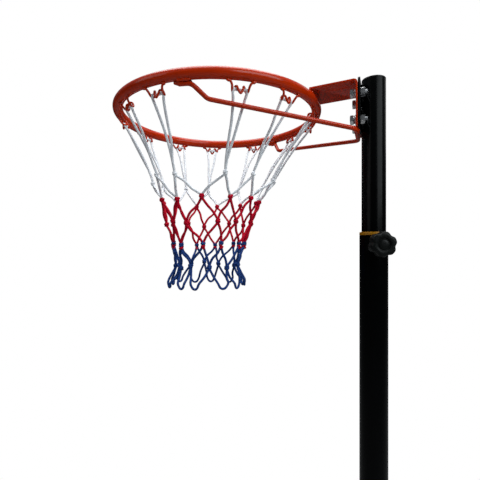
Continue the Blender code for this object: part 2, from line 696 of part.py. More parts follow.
def make_brackets(head):
    """The black plate on the pole, and the red sheet folded over it that carries the rim."""
    half = BRACKET_WIDTH / 2
    front = PLATE_BACK_Y - POLE_PLATE
    plate = box((-half, front, -BRACKET_BELOW_RIM), (half, PLATE_BACK_Y, POLE_BRACKET_ABOVE_RIM))
    drill(mesh_piece("pole_bracket", plate, "black_paint", head, smooth=False), head)

    under = TOP_PLATE_ABOVE_RIM
    over = under + RIM_PLATE
    rim_side = -ARM_REACH + RIM_RADIUS * 0.9
    steps = 6
    bend_y, bend_z = RIM_PLATE_BACK_Y - BEND_RADIUS, over + TOP_PLATE_RISE - BEND_RADIUS
    arc = [math.radians(90 * i / steps) for i in range(steps + 1)]
    outer = [(bend_y + BEND_RADIUS * math.cos(a), bend_z + BEND_RADIUS * math.sin(a)) for a in arc]
    inner_r = BEND_RADIUS - RIM_PLATE
    inner = [(bend_y + inner_r * math.cos(a), bend_z + inner_r * math.sin(a)) for a in reversed(arc)]
    foot = -BRACKET_BELOW_RIM
    outline = [(RIM_PLATE_BACK_Y, foot), *outer, (rim_side, over), (rim_side, under), *inner,
               (RIM_PLATE_FRONT_Y, foot)]
    sections = [[Vector((x, y, z)) for y, z in outline] for x in (-half, half)]
    bracket = mesh_piece("rim_bracket", lofted(sections), "rim_red", head)

    lip_outer = RIM_RADIUS + LIP_OFFSET
    lip_foot = RIM_BAR_DIAMETER / 4
    lip = pipe(lip_outer, lip_outer - RIM_PLATE - 0.002, lip_foot, over, 96)
    lip_piece = mesh_piece("rim_lip", lip, None, head, (0, -ARM_REACH, 0))
    wedge = box((-half, -ARM_REACH, -0.1), (half, 0, 0.1))
    boolean(lip_piece, mesh_piece("lip_wedge", wedge, None, head, smooth=False), "INTERSECT")
    join(bracket, lip_piece)
    inside = cylinder(lip_outer - RIM_PLATE, -0.1, 0.1, 96)
    cut(bracket, mesh_piece("rim_clearance", inside, None, head, (0, -ARM_REACH, 0)))
    seat = turned(bar_outline(RIM_BAR_DIAMETER / 2 + GAP), RIM_SEGMENTS, closed=True)
    cut(bracket, mesh_piece("rim_seat", seat, None, head, (0, -ARM_REACH, 0)))
    drill(bracket, head)


def make_bracket_bolts(head):
    stack = WASHER_THICKNESS + LOCK_WASHER_THICKNESS + 2 * GAP
    grip = RIM_PLATE + POLE_PLATE + 3 * GAP + M10[3] + 0.0045
    for n, (x, z) in enumerate(bolt_spots(), 1):
        face = (x, RIM_PLATE_FRONT_Y, z)
        bolt(f"rim_bolt_{n}", M10, grip, head, face, TO_MINUS_Y, washer=stack)
        stack_pieces = (
            ("washer", WASHER_RADIUS, GAP, WASHER_THICKNESS),
            ("lock_washer", LOCK_WASHER_RADIUS, 2 * GAP + WASHER_THICKNESS, LOCK_WASHER_THICKNESS),
        )
        for piece, radius, low, thickness in stack_pieces:
            washer(f"rim_{piece}_{n}", radius, M10[0], low, thickness, head, face, TO_MINUS_Y)
        nut(f"rim_nut_{n}", M10, head, (x, PLATE_BACK_Y, z), TO_Y)


def rim_point(angle, radius, z):
    """A point by its angle round the rim from the pole's side, in the rim's own frame."""
    return Vector((radius * math.sin(angle), radius * math.cos(angle), z))


def rod_arm(angles, side):
    """One arm of the brace rod, from its end under the rim to its corner under the bracket."""
    centre = Vector((0, -ARM_REACH, 0))
    end, bend, knee = [side * math.radians(a) for a in angles]
    weld_z = -(RIM_BAR_DIAMETER + ROD_DIAMETER) / 2 - GAP
    corner_z = -BRACKET_BELOW_RIM - GAP - ROD_DIAMETER / 2
    return [
        centre + rim_point(end, RIM_RADIUS - 0.003, weld_z),
        centre + rim_point(bend, RIM_RADIUS - 0.004, weld_z),
        centre + rim_point(knee, ROD_KNEE_RADIUS, -ROD_KNEE_DROP),
        Vector((side * ROD_CORNER_X, RIM_PLATE_FRONT_Y, corner_z)),
    ]


def make_brace_rod(head):
    """One rod bent to a U: both ends run under the rim, its middle crosses the bracket's foot."""
    points = rod_arm(ROD_ANGLES_RIGHT, 1) + rod_arm(ROD_ANGLES_LEFT, -1)[::-1]
    wire("brace_rod", filleted(points, ROD_BEND_RADIUS, 4), ROD_DIAMETER, "rim_red", head)


def make_hooks(head, rim):
    """Each hook is one wire: feet welded under the rim, and three hanging bends between them."""
    foot_z = -(RIM_BAR_DIAMETER + HOOK_WIRE) / 2 - GAP
    half = (  # along the rim, towards its centre, z
        (-0.0255, 0.000, foot_z),
        (-0.0195, 0.001, foot_z),
        (-0.0165, 0.003, foot_z - 0.006),
        (-0.0145, 0.010, foot_z - 0.013),
        (-0.0120, 0.015, foot_z - 0.011),
        (-0.0085, 0.010, foot_z - 0.004),
        (-0.0045, 0.007, foot_z - 0.012),
        (0.0, 0.006, foot_z - 0.0180),
    )
    shape = [Vector((t, -inward, z)) for t, inward, z in half]
    shape += [Vector((-p.x, p.y, p.z)) for p in reversed(shape[:-1])]
    for n, degrees in enumerate(HOOK_ANGLES, 1):
        angle = math.radians(degrees)
        seat = rim_point(angle, RIM_RADIUS, 0)
        path = filleted(shape, 0.0020, 1)
        wire(f"net_hook_{n:02d}", path, HOOK_WIRE, "rim_red", rim, 1, seat, -angle)


def bar_outline(radius, sides=12):
    """(radius, z) points round a section of the rim's bar."""
    circle = [2 * math.pi * i / sides for i in range(sides)]
    return [(RIM_RADIUS + radius * math.cos(a), radius * math.sin(a)) for a in circle]


def make_rim(head):
    rim = empty("rim", (0, -ARM_REACH, 0), head)
    bar = turned(bar_outline(RIM_BAR_DIAMETER / 2), RIM_SEGMENTS, closed=True)
    mesh_piece("rim_ring", bar, "rim_red", rim)
    make_hooks(head, rim)
    make_net(rim)


def make_net(rim):
    """The net's funnel as a thin shell, open at both ends and leaning out at its foot."""
    half = NET_SHELL / 2
    outer = [(r + half, -z) for r, z in NET_PROFILE]
    inner = [(r - half, -z) for r, z in reversed(NET_PROFILE)]
    bm = turned(outer + inner, 24, closed=True)
    top, foot = -NET_PROFILE[0][1], -NET_PROFILE[-1][1]
    for v in bm.verts:
        v.co.y -= NET_LEAN * max(0.0, (v.co.z - top) / (foot - top)) ** NET_LEAN_POWER
    mesh_piece("net", bm, "net_cord", rim)


def main():
    clear_scene()
    stand = empty("stand")
    head = empty("head", (0, 0, RIM_Z))
    clamp = empty("clamp", (0, 0, CLAMP_Z), stand, CLAMP_AZIMUTH)
    make_tank(stand)
    make_filler_plug(stand)
    make_wheels(stand)
    mid_pole = make_lower_poles(stand)
    make_struts(stand)
    make_collar(stand, mid_pole, clamp)
    make_clamp(clamp)
    make_upper_pole(stand, head)
    make_brackets(head)
    make_bracket_bolts(head)
    make_brace_rod(head)
    make_rim(head)


main()
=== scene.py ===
"""Looks of the portable basketball hoop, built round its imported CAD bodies."""

import math
import random

import bmesh
import bpy
from mathutils import Matrix, Vector, noise


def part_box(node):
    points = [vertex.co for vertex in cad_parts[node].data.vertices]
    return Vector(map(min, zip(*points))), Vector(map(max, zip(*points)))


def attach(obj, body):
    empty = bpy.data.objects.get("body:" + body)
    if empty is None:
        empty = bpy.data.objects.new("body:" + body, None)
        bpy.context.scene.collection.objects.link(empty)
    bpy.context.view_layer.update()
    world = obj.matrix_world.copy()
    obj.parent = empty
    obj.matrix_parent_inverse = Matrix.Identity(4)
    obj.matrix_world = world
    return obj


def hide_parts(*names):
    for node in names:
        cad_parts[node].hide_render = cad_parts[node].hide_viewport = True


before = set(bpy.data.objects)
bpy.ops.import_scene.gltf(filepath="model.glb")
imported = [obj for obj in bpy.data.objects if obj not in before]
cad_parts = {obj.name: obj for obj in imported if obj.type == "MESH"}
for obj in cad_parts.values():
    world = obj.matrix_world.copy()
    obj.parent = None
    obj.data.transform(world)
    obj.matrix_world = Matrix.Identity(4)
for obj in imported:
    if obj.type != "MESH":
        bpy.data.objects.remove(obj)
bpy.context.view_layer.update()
PI = math.pi


def centre_of(node):
    low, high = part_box(node)
    return (low + high) / 2


# --- Places read from the CAD, and sizes that several pieces share ----------------------------

RIM = centre_of("rim_ring")
BAR = (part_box("rim_ring")[1].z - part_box("rim_ring")[0].z) / 2
RIM_R = (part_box("rim_ring")[1].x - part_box("rim_ring")[0].x) / 2 - BAR
UPPER_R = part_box("upper_pole")[1].y
LOWER_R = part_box("mid_pole")[1].y
WALL = 0.0015
GAP = 0.0003
COLLAR_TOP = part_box("collar_bush")[1].z
CLAMP_Z = COLLAR_TOP - 0.025
RIVET_Z = CLAMP_Z - 0.0235
CLAMP_TURN = math.radians(17)
CLAMP_AXIS = Vector((math.cos(CLAMP_TURN), math.sin(CLAMP_TURN), 0))
CLAMP_HOLE, RIVET_HOLE, SCREW_HOLE, STRUT_HOLE = 0.0053, 0.0019, 0.0033, 0.0043  # radii
BRACKET_LOW, BRACKET_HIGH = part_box("rim_bracket")
PLATE_LOW, PLATE_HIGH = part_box("pole_bracket")
RIM_PLATE = 0.0035
BRACKET_FRONT = BRACKET_HIGH.y - RIM_PLATE
LIP_OFFSET = 0.0045  # the lip's outer face, outside the bar's middle
RIM_BOLT_HOLE = 0.0054
ROD_R = 0.0045
HOOK_ANGLES = (-3, 28, 54.5, 95.5, 120.5, 153.5, 184.5, 214, 239.5, 272.5, 308, 335)
HOOK_WIRE = 0.0045
HOOK_FOOT = -BAR - HOOK_WIRE / 2


# --- Mesh helpers -----------------------------------------------------------------------------


def turned(profile, segments=96, closed=False, wobble=None):
    """A bmesh turned about Z from (radius, z) points. wobble(angle, radius, z) may change a radius."""
    bm = bmesh.new()
    rings = []
    for radius, z in profile:
        if radius == 0:
            rings.append([bm.verts.new((0, 0, z))])
            continue
        ring = []
        for i in range(segments):
            a = 2 * PI * i / segments
            r = wobble(a, radius, z) if wobble else radius
            ring.append(bm.verts.new((r * math.cos(a), r * math.sin(a), z)))
        rings.append(ring)
    pairs = list(zip(rings, rings[1:]))
    if closed:
        pairs.append((rings[-1], rings[0]))
    for lower, upper in pairs:
        for i in range(segments):
            j = (i + 1) % segments
            corners = [ring[k % len(ring)] for ring, k in ((lower, i), (lower, j), (upper, j), (upper, i))]
            bm.faces.new([v for k, v in enumerate(corners) if v not in corners[:k]])
    return bm


def rounded(points, radius, steps=4, closed=False):
    """The polyline through points, with each corner turned into an arc of about that radius."""
    points = [Vector(p) for p in points]
    flat = len(points[0]) == 2
    if flat:
        points = [Vector((p.x, 0, p.y)) for p in points]
    count = len(points)
    path = [] if closed else [points[0]]
    for i in range(0 if closed else 1, count if closed else count - 1):
        before, corner, after = points[i - 1], points[i], points[(i + 1) % count]
        into, out = before - corner, after - corner
        room = 0.45 * min(into.length, out.length)
        into, out = into.normalized(), out.normalized()
        half = into.angle(out) / 2
        if half > PI / 2 - 0.02:
            path.append(corner)
            continue
        back = min(radius / math.tan(half), room)
        r = back * math.tan(half)
        middle = corner + (into + out).normalized() * (r / math.sin(half))
        start, end = corner + into * back - middle, corner + out * back - middle
        axis = start.cross(end).normalized()
        sweep_angle = start.angle(end)
        path += [middle + Matrix.Rotation(sweep_angle * k / steps, 3, axis) @ start for k in range(steps + 1)]
    if not closed:
        path.append(points[-1])
    return [(p.x, p.z) for p in path] if flat else path


def smooth_path(points, per):
    """A Catmull-Rom curve through points."""
    points = [Vector(p) for p in points]
    count = len(points)
    out = []
    for i in range(count - 1):
        b, c = points[i], points[i + 1]
        a = points[i - 1] if i else b * 2 - c
        d = points[i + 2] if i + 2 < count else c * 2 - b
        for k in range(per):
            t = k / per
            out.append(0.5 * ((2 * b) + (c - a) * t + (2 * a - 5 * b + 4 * c - d) * t * t
                              + (3 * b - a - 3 * c + d) * t * t * t))
    out.append(points[-1])
    return out


def sweep(bm, path, radius, sides=12, closed=False, slot=0, uneven=0.0, seed=0.0):
    """Adds a round cord or bar along path to bm, with UVs: u round it, v along it in metres."""
    uv = bm.loops.layers.uv.verify()
    points = [Vector(p) for p in path]
    count = len(points)
    radii = [radius] * count
    if uneven:
        radii = [radius * (1 + uneven * noise.noise(p * 260 + Vector((seed, 0, 0)))) for p in points]
    if not closed:
        head = (points[0] - points[1]).normalized()
        tail = (points[-1] - points[-2]).normalized()
        ends = ((0.60, 0.80), (0.92, 0.39))
        start = [(points[0] + head * radius * k, radii[0] * r) for k, r in reversed(ends)]
        stop = [(points[-1] + tail * radius * k, radii[-1] * r) for k, r in ends]
        points = [p for p, _ in start] + points + [p for p, _ in stop]
        radii = [r for _, r in start] + radii + [r for _, r in stop]
        count = len(points)
    tangents = []
    for i in range(count):
        a = points[(i - 1) % count] if closed or i else points[i]
        b = points[(i + 1) % count] if closed or i < count - 1 else points[i]
        tangents.append((b - a).normalized())
    normal = tangents[0].orthogonal().normalized()
    normals = [normal]
    for a, b in zip(tangents, tangents[1:]):
        normal = (a.rotation_difference(b) @ normal).normalized()
        normals.append(normal)
    twist = 0.0
    if closed:
        last = (tangents[-1].rotation_difference(tangents[0]) @ normal).normalized()
        twist = last.angle(normals[0])
        if last.cross(normals[0]).dot(tangents[0]) < 0:
            twist = -twist
    rings, along, length = [], [], 0.0
    for i, (p, t, n, r) in enumerate(zip(points, tangents, normals, radii)):
        if i:
            length += (p - points[i - 1]).length
        along.append(length)
        side = t.cross(n)
        turn = twist * i / count
        ring = []
        for k in range(sides):
            a = 2 * PI * k / sides + turn
            ring.append(bm.verts.new(p + n * (r * math.cos(a)) + side * (r * math.sin(a))))
        rings.append(ring)
    spans = [(i, i + 1) for i in range(count - 1)]
    if closed:
        spans.append((count - 1, 0))
        along.append(length + (points[0] - points[-1]).length)
    for i, j in spans:
        high = along[j] if j else along[-1]
        for k in range(sides):
            m = (k + 1) % sides
            face = bm.faces.new((rings[i][k], rings[i][m], rings[j][m], rings[j][k]))
            face.material_index = slot
            face.smooth = True
            spots = ((k, along[i]), (k + 1, along[i]), (k + 1, high), (k, high))
            for loop, (u, v) in zip(face.loops, spots):
                loop[uv].uv = (u / sides, v)
    if not closed:
        for ring, p, away in ((rings[0], points[0], -tangents[0]), (rings[-1], points[-1], tangents[-1])):
            tip = bm.verts.new(p + away * radius * 0.08)
            for k in range(sides):
                pair = (ring[k], ring[(k + 1) % sides])
                face = bm.faces.new((tip, *pair) if away.dot(tangents[0]) < 0 else (tip, *reversed(pair)))
                face.material_index = slot
                face.smooth = True


def bridge(bm, lower, upper, slot=0):
    """Faces between two rings of as many corners."""
    for i in range(len(lower)):
        j = (i + 1) % len(lower)
        bm.faces.new((lower[i], lower[j], upper[j], upper[i])).material_index = slot


def join(bm, other):
    """Adds other to bm and frees it."""
    mesh = bpy.data.meshes.new("part")
    other.to_mesh(mesh)
    other.free()
    bm.from_mesh(mesh)


def taken(obj):
    """obj's mesh as a bmesh. The object itself goes."""
    bm = bmesh.new()
    bm.from_mesh(obj.data)
    bpy.data.objects.remove(obj)
    return bm


def rod(radius, low, high, sides):
    """A plain round solid about Z."""
    return turned([(0, low), (radius, low), (radius, high), (0, high)], sides)


def sleeve(bore, radius, low, high, edge, steps, sides):
    """A tube about Z with rounded edges."""
    profile = [(bore, low), (radius, low), (radius, high), (bore, high)]
    return turned(rounded(profile, edge, steps, closed=True), sides, closed=True)


def box(low, high):
    bm = bmesh.new()
    size = Vector(high) - Vector(low)
    middle = (Vector(high) + Vector(low)) / 2
    bmesh.ops.create_cube(bm, size=1, matrix=Matrix.Translation(middle) @ Matrix.Diagonal((*size, 1)))
    return bm


def lofted(sections):
    bm = bmesh.new()
    loops = [[bm.verts.new(p) for p in section] for section in sections]
    for lower, upper in zip(loops, loops[1:]):
        bridge(bm, lower, upper)
    bm.faces.new(list(reversed(loops[0])))
    bm.faces.new(loops[-1])
    return bm


def mesh_object(name, bm, matrix=None, angle=35):
    bmesh.ops.recalc_face_normals(bm, faces=bm.faces)
    if matrix is not None:
        bmesh.ops.transform(bm, matrix=matrix, verts=bm.verts)
    mesh = bpy.data.meshes.new(name)
    bm.to_mesh(mesh)
    bm.free()
    mesh.shade_smooth()
    mesh.set_sharp_from_angle(angle=math.radians(angle))
    obj = bpy.data.objects.new(name, mesh)
    bpy.context.scene.collection.objects.link(obj)
    return obj


def bake(obj, angle=35):
    """Applies obj's modifiers."""
    bpy.context.view_layer.update()
    graph = bpy.context.evaluated_depsgraph_get()
    mesh = bpy.data.meshes.new_from_object(obj.evaluated_get(graph))
    obj.modifiers.clear()
    obj.data = mesh
    mesh.shade_smooth()
    mesh.set_sharp_from_angle(angle=math.radians(angle))
    return obj


def boolean(obj, bm, operation="DIFFERENCE", matrix=None):
    """Cuts bm from obj, joins it on, or keeps what they share."""
    other = mesh_object("tool", bm, matrix)
    modifier = obj.modifiers.new("cut", "BOOLEAN")
    modifier.operation, modifier.object, modifier.solver = operation, other, "EXACT"
    bake(obj)
    bpy.data.objects.remove(other)
    return obj


def bevelled(obj, width, segments=2, angle=35):
    modifier = obj.modifiers.new("bevel", "BEVEL")
    modifier.width, modifier.segments = width, segments
    modifier.limit_method, modifier.angle_limit = "ANGLE", math.radians(angle)
    modifier.harden_normals = True
    modifier.use_clamp_overlap = True
    return bake(obj, 40)


def piece(obj, finish, body, slot, *nodes):
    """Finishes a piece: its material or materials, the body it rides on and the CAD nodes it stands for."""
    for made in finish if isinstance(finish, (list, tuple)) else [finish]:
        obj.data.materials.append(made)
    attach(obj, body)
    if nodes:
        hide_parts(*nodes)
    return obj


def facing(origin, direction):
    """A matrix that puts local +Z along direction at origin."""
    return Matrix.Translation(origin) @ Vector(direction).to_track_quat("Z", "Y").to_matrix().to_4x4()


def drilled(obj, spot, direction, radius, start, end, sides=32):
    """Cuts a round hole from start to end along direction, measured from spot."""
    return boolean(obj, rod(radius, start, end, sides), "DIFFERENCE", facing(spot, direction))


# --- Materials --------------------------------------------------------------------------------


def new_node(tree, kind, **values):
    """A shader node of that kind, with its inputs' values."""
    made = tree.nodes.new("ShaderNode" + kind)
    for key, value in values.items():
        made.inputs[key.replace("_", " ")].default_value = value
    return made


def ramp_of(tree, source, stops):
    """The colours that a ramp with these (place, colour) stops gives source."""
    made = new_node(tree, "ValToRGB")
    elements = made.color_ramp.elements
    while len(elements) < len(stops):
        elements.new(0.5)
    for element, (place, colour) in zip(elements, stops):
        element.position, element.color = place, (*colour, 1)
    tree.links.new(source, made.inputs["Fac"])
    return made.outputs["Color"]


def mixed(tree, share, first, second, target):
    """Sends target a mix of two shaders."""
    mix = new_node(tree, "MixShader")
    for source, socket in zip((share, first.outputs[0], second.outputs[0]), mix.inputs):
        tree.links.new(source, socket)
    tree.links.new(mix.outputs[0], target)


class Nodes:
    """Short calls for one material's nodes. Every texture reads the piece's own metres."""

    def __init__(self, name, metallic=0.0, **sockets):
        self.made = bpy.data.materials.new(name)
        self.made.use_nodes = True
        self.tree = self.made.node_tree
        self.shader = self.tree.nodes["Principled BSDF"]
        self.shader.inputs["Metallic"].default_value = metallic
        for key, value in sockets.items():
            self.shader.inputs[key.replace("_", " ")].default_value = value
        self.where = new_node(self.tree, "TexCoord").outputs["Object"]

    def link(self, source, target):
        self.tree.links.new(source, target)

    def noise(self, scale, detail=2.0, stretch=None):
        node = new_node(self.tree, "TexNoise", Scale=scale, Detail=detail)
        source = self.where
        if stretch:
            mapping = new_node(self.tree, "Mapping", Scale=stretch)
            self.link(source, mapping.inputs["Vector"])
            source = mapping.outputs["Vector"]
        self.link(source, node.inputs["Vector"])
        return node.outputs["Fac"]

    def spread(self, source, low, high, start=0.3, end=0.7):
        node = new_node(self.tree, "MapRange", From_Min=start, From_Max=end, To_Min=low, To_Max=high)
        self.link(source, node.inputs["Value"])
        return node.outputs["Result"]

    def colours(self, source, *stops):
        return ramp_of(self.tree, source, stops)

    def math(self, operation, a, b=None):
        node = new_node(self.tree, "Math")
        node.operation = operation
        for socket, value in zip(node.inputs, (a, b)):
            if isinstance(value, (int, float)):
                socket.default_value = value
            elif value is not None:
                self.link(value, socket)
        return node.outputs[0]

    def bump(self, source, distance, strength=1.0, after=None):
        node = new_node(self.tree, "Bump", Distance=distance, Strength=strength)
        self.link(source, node.inputs["Height"])
        if after is not None:
            self.link(after, node.inputs["Normal"])
        return node.outputs["Normal"]

    def finish(self, colour=None, rough=None, normal=None):
        for key, source in (("Base Color", colour), ("Roughness", rough), ("Normal", normal)):
            if source is not None:
                self.link(source, self.shader.inputs[key])
        return self.made


def coating(name, dark, light, rough, peel=0.00003, grain=420, **sockets):
    """Powder coat: an orange-peel skin, with slow changes of tone and gloss."""
    n = Nodes(name, **sockets)
    slow, fine = n.noise(9, 3), n.noise(grain, 2)
    tone = n.colours(slow, (0.3, dark), (0.7, light))
    gloss = n.spread(n.noise(60, 3), rough - 0.04, rough + 0.05)
    specks = n.bump(n.noise(1500, 2), 0.000004, 0.1)
    return n.finish(tone, gloss, n.bump(fine, peel, 0.12, specks))


def plated(name, tint, rough):
    """Zinc plate: bright, faintly cloudy, with fine draw marks."""
    n = Nodes(name, metallic=1.0)
    cloud = n.noise(120, 4)
    tone = n.colours(cloud, (0.3, tuple(c * 0.82 for c in tint)), (0.7, tint))
    gloss = n.spread(n.noise(500, 3), rough - 0.06, rough + 0.10)
    return n.finish(tone, gloss, n.bump(n.noise(900, 3, (1, 1, 0.15)), 0.00003, 0.5))


def moulded(name, dark, light, rough, pebble=700, depth=0.00012, **sockets):
    """Moulded plastic with a pebbled skin."""
    n = Nodes(name, **sockets)
    node = new_node(n.tree, "TexVoronoi", Scale=pebble)
    node.feature = "SMOOTH_F1"
    n.link(n.where, node.inputs["Vector"])
    tone = n.colours(n.noise(14, 3), (0.3, dark), (0.7, light))
    gloss = n.spread(n.noise(90, 3), rough - 0.05, rough + 0.07)
    return n.finish(tone, gloss, n.bump(node.outputs["Distance"], depth, 0.6))


def cord_material(name, dark, light, rough=0.75):
    """Braided cord: crossing strands from the cord's own UVs, painted shade in the grooves between them, and
    fine fibres.
    """
    n = Nodes(name, Specular_IOR_Level=0.12)
    uv = new_node(n.tree, "TexCoord").outputs["UV"]
    split = new_node(n.tree, "SeparateXYZ")
    n.link(uv, split.inputs[0])
    round_it = n.math("MULTIPLY", split.outputs["X"], 2 * PI * 2)
    along = n.math("MULTIPLY", split.outputs["Y"], 2 * PI / 0.0042)
    one = n.math("SINE", n.math("ADD", round_it, along))
    two = n.math("SINE", n.math("SUBTRACT", along, round_it))
    weave = n.math("MAXIMUM", one, two)
    fuzz = n.noise(1400, 3)
    # painted shade: the colour is darker in the grooves between the strands; fibre noise adds random tone on
    # top
    groove_shade = n.spread(weave, 0.0, 1.0, -0.6, 1.0)
    tone = n.colours(n.math("ADD", n.math("MULTIPLY", groove_shade, 0.6), n.math("MULTIPLY", fuzz, 0.4)),
                     (0.15, dark), (0.65, light))
    n.shader.inputs["Roughness"].default_value = rough
    fibres = n.bump(fuzz, 0.00008, 0.3)
    return n.finish(tone, n.spread(fuzz, rough - 0.08, rough + 0.1), n.bump(weave, 0.00012, 0.45, fibres))


RED = coating("powder_coat_red", (0.50, 0.025, 0.0008), (0.60, 0.034, 0.0014), 0.17, Specular_IOR_Level=0.26)
BLACK = coating("powder_coat_black", (0.0004, 0.0006, 0.0007), (0.0009, 0.0012, 0.0014), 0.22, 0.00002, 500,
                Specular_IOR_Level=0.075)
ZINC = plated("zinc_plate", (0.66, 0.67, 0.68), 0.26)
THREAD = plated("zinc_thread", (0.52, 0.53, 0.55), 0.34)
KNOB = moulded("knob_plastic", (0.003, 0.0038, 0.0036), (0.0055, 0.0065, 0.0062), 0.38, 1600, 0.00006,
               Specular_IOR_Level=0.14)
CAP = moulded("cap_plastic", (0.006, 0.006, 0.006), (0.010, 0.010, 0.010), 0.45, 1300, 0.00006)
TANK = moulded("tank_plastic", (0.012, 0.012, 0.013), (0.018, 0.018, 0.019), 0.50, 520, 0.00022)
TYRE = moulded("wheel_plastic", (0.009, 0.009, 0.009), (0.014, 0.014, 0.014), 0.58, 900, 0.0001)
YELLOW = moulded("bush_plastic", (0.31, 0.130, 0.0005), (0.37, 0.160, 0.0010), 0.38, 1500, 0.00004,
                 Specular_IOR_Level=0.25)
NYLON = moulded("guide_nylon", (0.66, 0.65, 0.60), (0.74, 0.73, 0.69), 0.45, 1200, 0.00004)
# each cord's first colour is its darker end: painted shade in the grooves between strands, mixed with darker
# fibres
CORD_WHITE = cord_material("cord_white", (0.78, 0.81, 0.87), (0.92, 0.94, 0.98))
CORD_RED = cord_material("cord_red", (0.34, 0.0008, 0.009), (0.62, 0.0015, 0.026))
CORD_BLUE = cord_material("cord_blue", (0.006, 0.020, 0.075), (0.018, 0.062, 0.26))


def water_material():
    """Stand-in water for the ballast inside the tank."""
    n = Nodes("ballast_water", Transmission_Weight=0.9, IOR=1.333)
    tone = n.colours(n.noise(6, 2), (0.3, (0.45, 0.62, 0.70)), (0.7, (0.55, 0.72, 0.78)))
    return n.finish(tone, n.spread(n.noise(12, 2), 0.03, 0.08), n.bump(n.noise(25, 2), 0.001, 0.3))


# --- Fasteners --------------------------------------------------------------------------------


def hex_solid(across, low, high, bore=0.0, both=False):
    """A hex head or nut with the curved edges that a turned chamfer leaves on its flats."""
    bm = bmesh.new()
    segments = 48
    crown = across / 2 * 0.965
    angles = [2 * PI * i / segments for i in range(segments)]

    def flat_radius(a):
        return across / 2 / math.cos((a + PI / 6) % (PI / 3) - PI / 6)

    def ring(radius, z):
        spots = []
        for a in angles:
            r = radius(a) if callable(radius) else radius
            h = z(a) if callable(z) else z
            spots.append(bm.verts.new((r * math.cos(a), r * math.sin(a), h)))
        return spots

    def drop(a):
        return (flat_radius(a) - crown) * math.tan(math.radians(30))

    if both:
        bottom = [ring(crown, low), ring(flat_radius, lambda a: low + drop(a))]
    else:
        bottom = [ring(flat_radius, low)]
    top = [ring(flat_radius, lambda a: high - drop(a)), ring(crown, high)]
    if bore:
        mouth = bore * 1.13
        top += [ring(mouth, high), ring(bore, high - (mouth - bore)), ring(bore, low + (mouth - bore)),
                ring(mouth, low)]
    else:
        top += [ring(crown * 0.72, high), ring(crown * 0.68, high - 0.0002)]
    rings = bottom + top
    pairs = list(zip(rings, rings[1:]))
    if bore:
        pairs.append((rings[-1], rings[0]))
    for lower, upper in pairs:
        bridge(bm, lower, upper)
    if not bore:
        bm.faces.new(list(reversed(rings[0])))
        bm.faces.new(rings[-1])
    return bm


def add_thread(bm, radius, pitch, low, high, start):
    """A helical thread from low to high, ending in a chamfer at low; above start the shank is plain."""
    segments, per = 36, 9
    depth = 0.54 * pitch
    rows = max(4, int((high - low) / pitch * per))
    rings = []
    for i in range(rows + 1):
        z = low + (high - low) * i / rows
        ring = []
        for k in range(segments):
            a = 2 * PI * k / segments
            wave = 0.5 - 0.5 * math.cos(2 * PI * (z / pitch - a / (2 * PI)))
            r = radius - depth * min(1.0, wave * 1.25) * (1.0 if z < start else 0.0)
            r = min(r, radius - depth + (z - low) * 1.2)
            ring.append(bm.verts.new((r * math.cos(a), r * math.sin(a), z)))
        rings.append(ring)
    for lower, upper in zip(rings, rings[1:]):
        bridge(bm, lower, upper, 1)
    for ring in (rings[0], rings[-1]):
        bm.faces.new(ring).material_index = 1


M10 = (0.017, 0.0064, 0.005, 0.0015)  # across flats, head height, shank radius, pitch
M8 = (0.013, 0.0053, 0.004, 0.00125)
M6 = (0.010, 0.0040, 0.003, 0.0010)


def bolt(node, body, size, direction, plain=0.0):
    """A bolt in the place of a CAD bolt: direction points out of its head."""
    across, head, radius, pitch = size
    low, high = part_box(node)
    direction = Vector(direction)
    middle = (low + high) / 2
    length = abs((high - low).dot(direction))
    top = middle + direction * (length / 2)
    bm = hex_solid(across, -head, 0.0)
    add_thread(bm, radius, pitch, -length, -head + 0.0002, -head - plain)
    obj = mesh_object(node + "_look", bm, facing(top, direction))
    return piece(obj, [ZINC, THREAD], body, "zinc", node)


def nut(node, body, across, radius, direction):
    low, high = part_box(node)
    direction = Vector(direction)
    length = abs((high - low).dot(direction))
    bm = hex_solid(across, -length / 2, length / 2, radius, both=True)
    obj = mesh_object(node + "_look", bm, facing((low + high) / 2, direction))
    return piece(obj, ZINC, body, "zinc", node)


def flat_washer(node, bore):
    low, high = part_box(node)
    half = (high.y - low.y) / 2
    radius = (high.x - low.x) / 2
    bm = sleeve(bore, radius, -half, half, 0.0005, 3, 64)
    obj = mesh_object(node + "_look", bm, facing((low + high) / 2, (0, 1, 0)))
    return piece(obj, ZINC, "head", "zinc", node)


def spring_washer(node, bore, turn):
    """A split lock washer: a square-section turn whose cut ends stand a little apart."""
    low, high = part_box(node)
    radius = (high.x - low.x) / 2
    half = (high.y - low.y) / 2
    thick = half * 0.8
    steps, sections = 56, []
    for i in range(steps + 1):
        a = turn + math.radians(8) + (2 * PI - math.radians(16)) * i / steps
        lift = (i / steps - 0.5) * 2 * (half - thick)
        corners = ((bore, -thick), (radius, -thick * 0.9), (radius, thick * 0.9), (bore, thick))
        sections.append([Vector((r * math.cos(a), r * math.sin(a), z + lift)) for r, z in corners])
    obj = mesh_object(node + "_look", lofted(sections), facing((low + high) / 2, (0, 1, 0)))
    return piece(bevelled(obj, 0.0002, 2), ZINC, "head", "zinc", node)


# --- Rim, hooks, rod --------------------------------------------------------------------------


def rim_point(angle, radius, z):
    """A spot by its angle from +Y and its radius about the rim's centre, z above its centreline."""
    return RIM + Vector((radius * math.sin(angle), radius * math.cos(angle), z))


def weld(bm, path, radius, seed):
    """A laid bead: round ripples one after another."""
    points = smooth_path(path, 3)
    fine = []
    for a, b in zip(points, points[1:]):
        count = max(2, int((b - a).length / 0.0006))
        fine += [a.lerp(b, k / count) for k in range(count)]
    fine.append(points[-1])
    wavy = [p + Vector((noise.noise(p * 180), noise.noise(p * 180 + Vector((9, 0, 0))),
                        noise.noise(p * 180 + Vector((0, 9, 0))))) * radius * 0.22 for p in fine]
    sweep(bm, wavy, radius, 10, uneven=0.35, seed=seed)


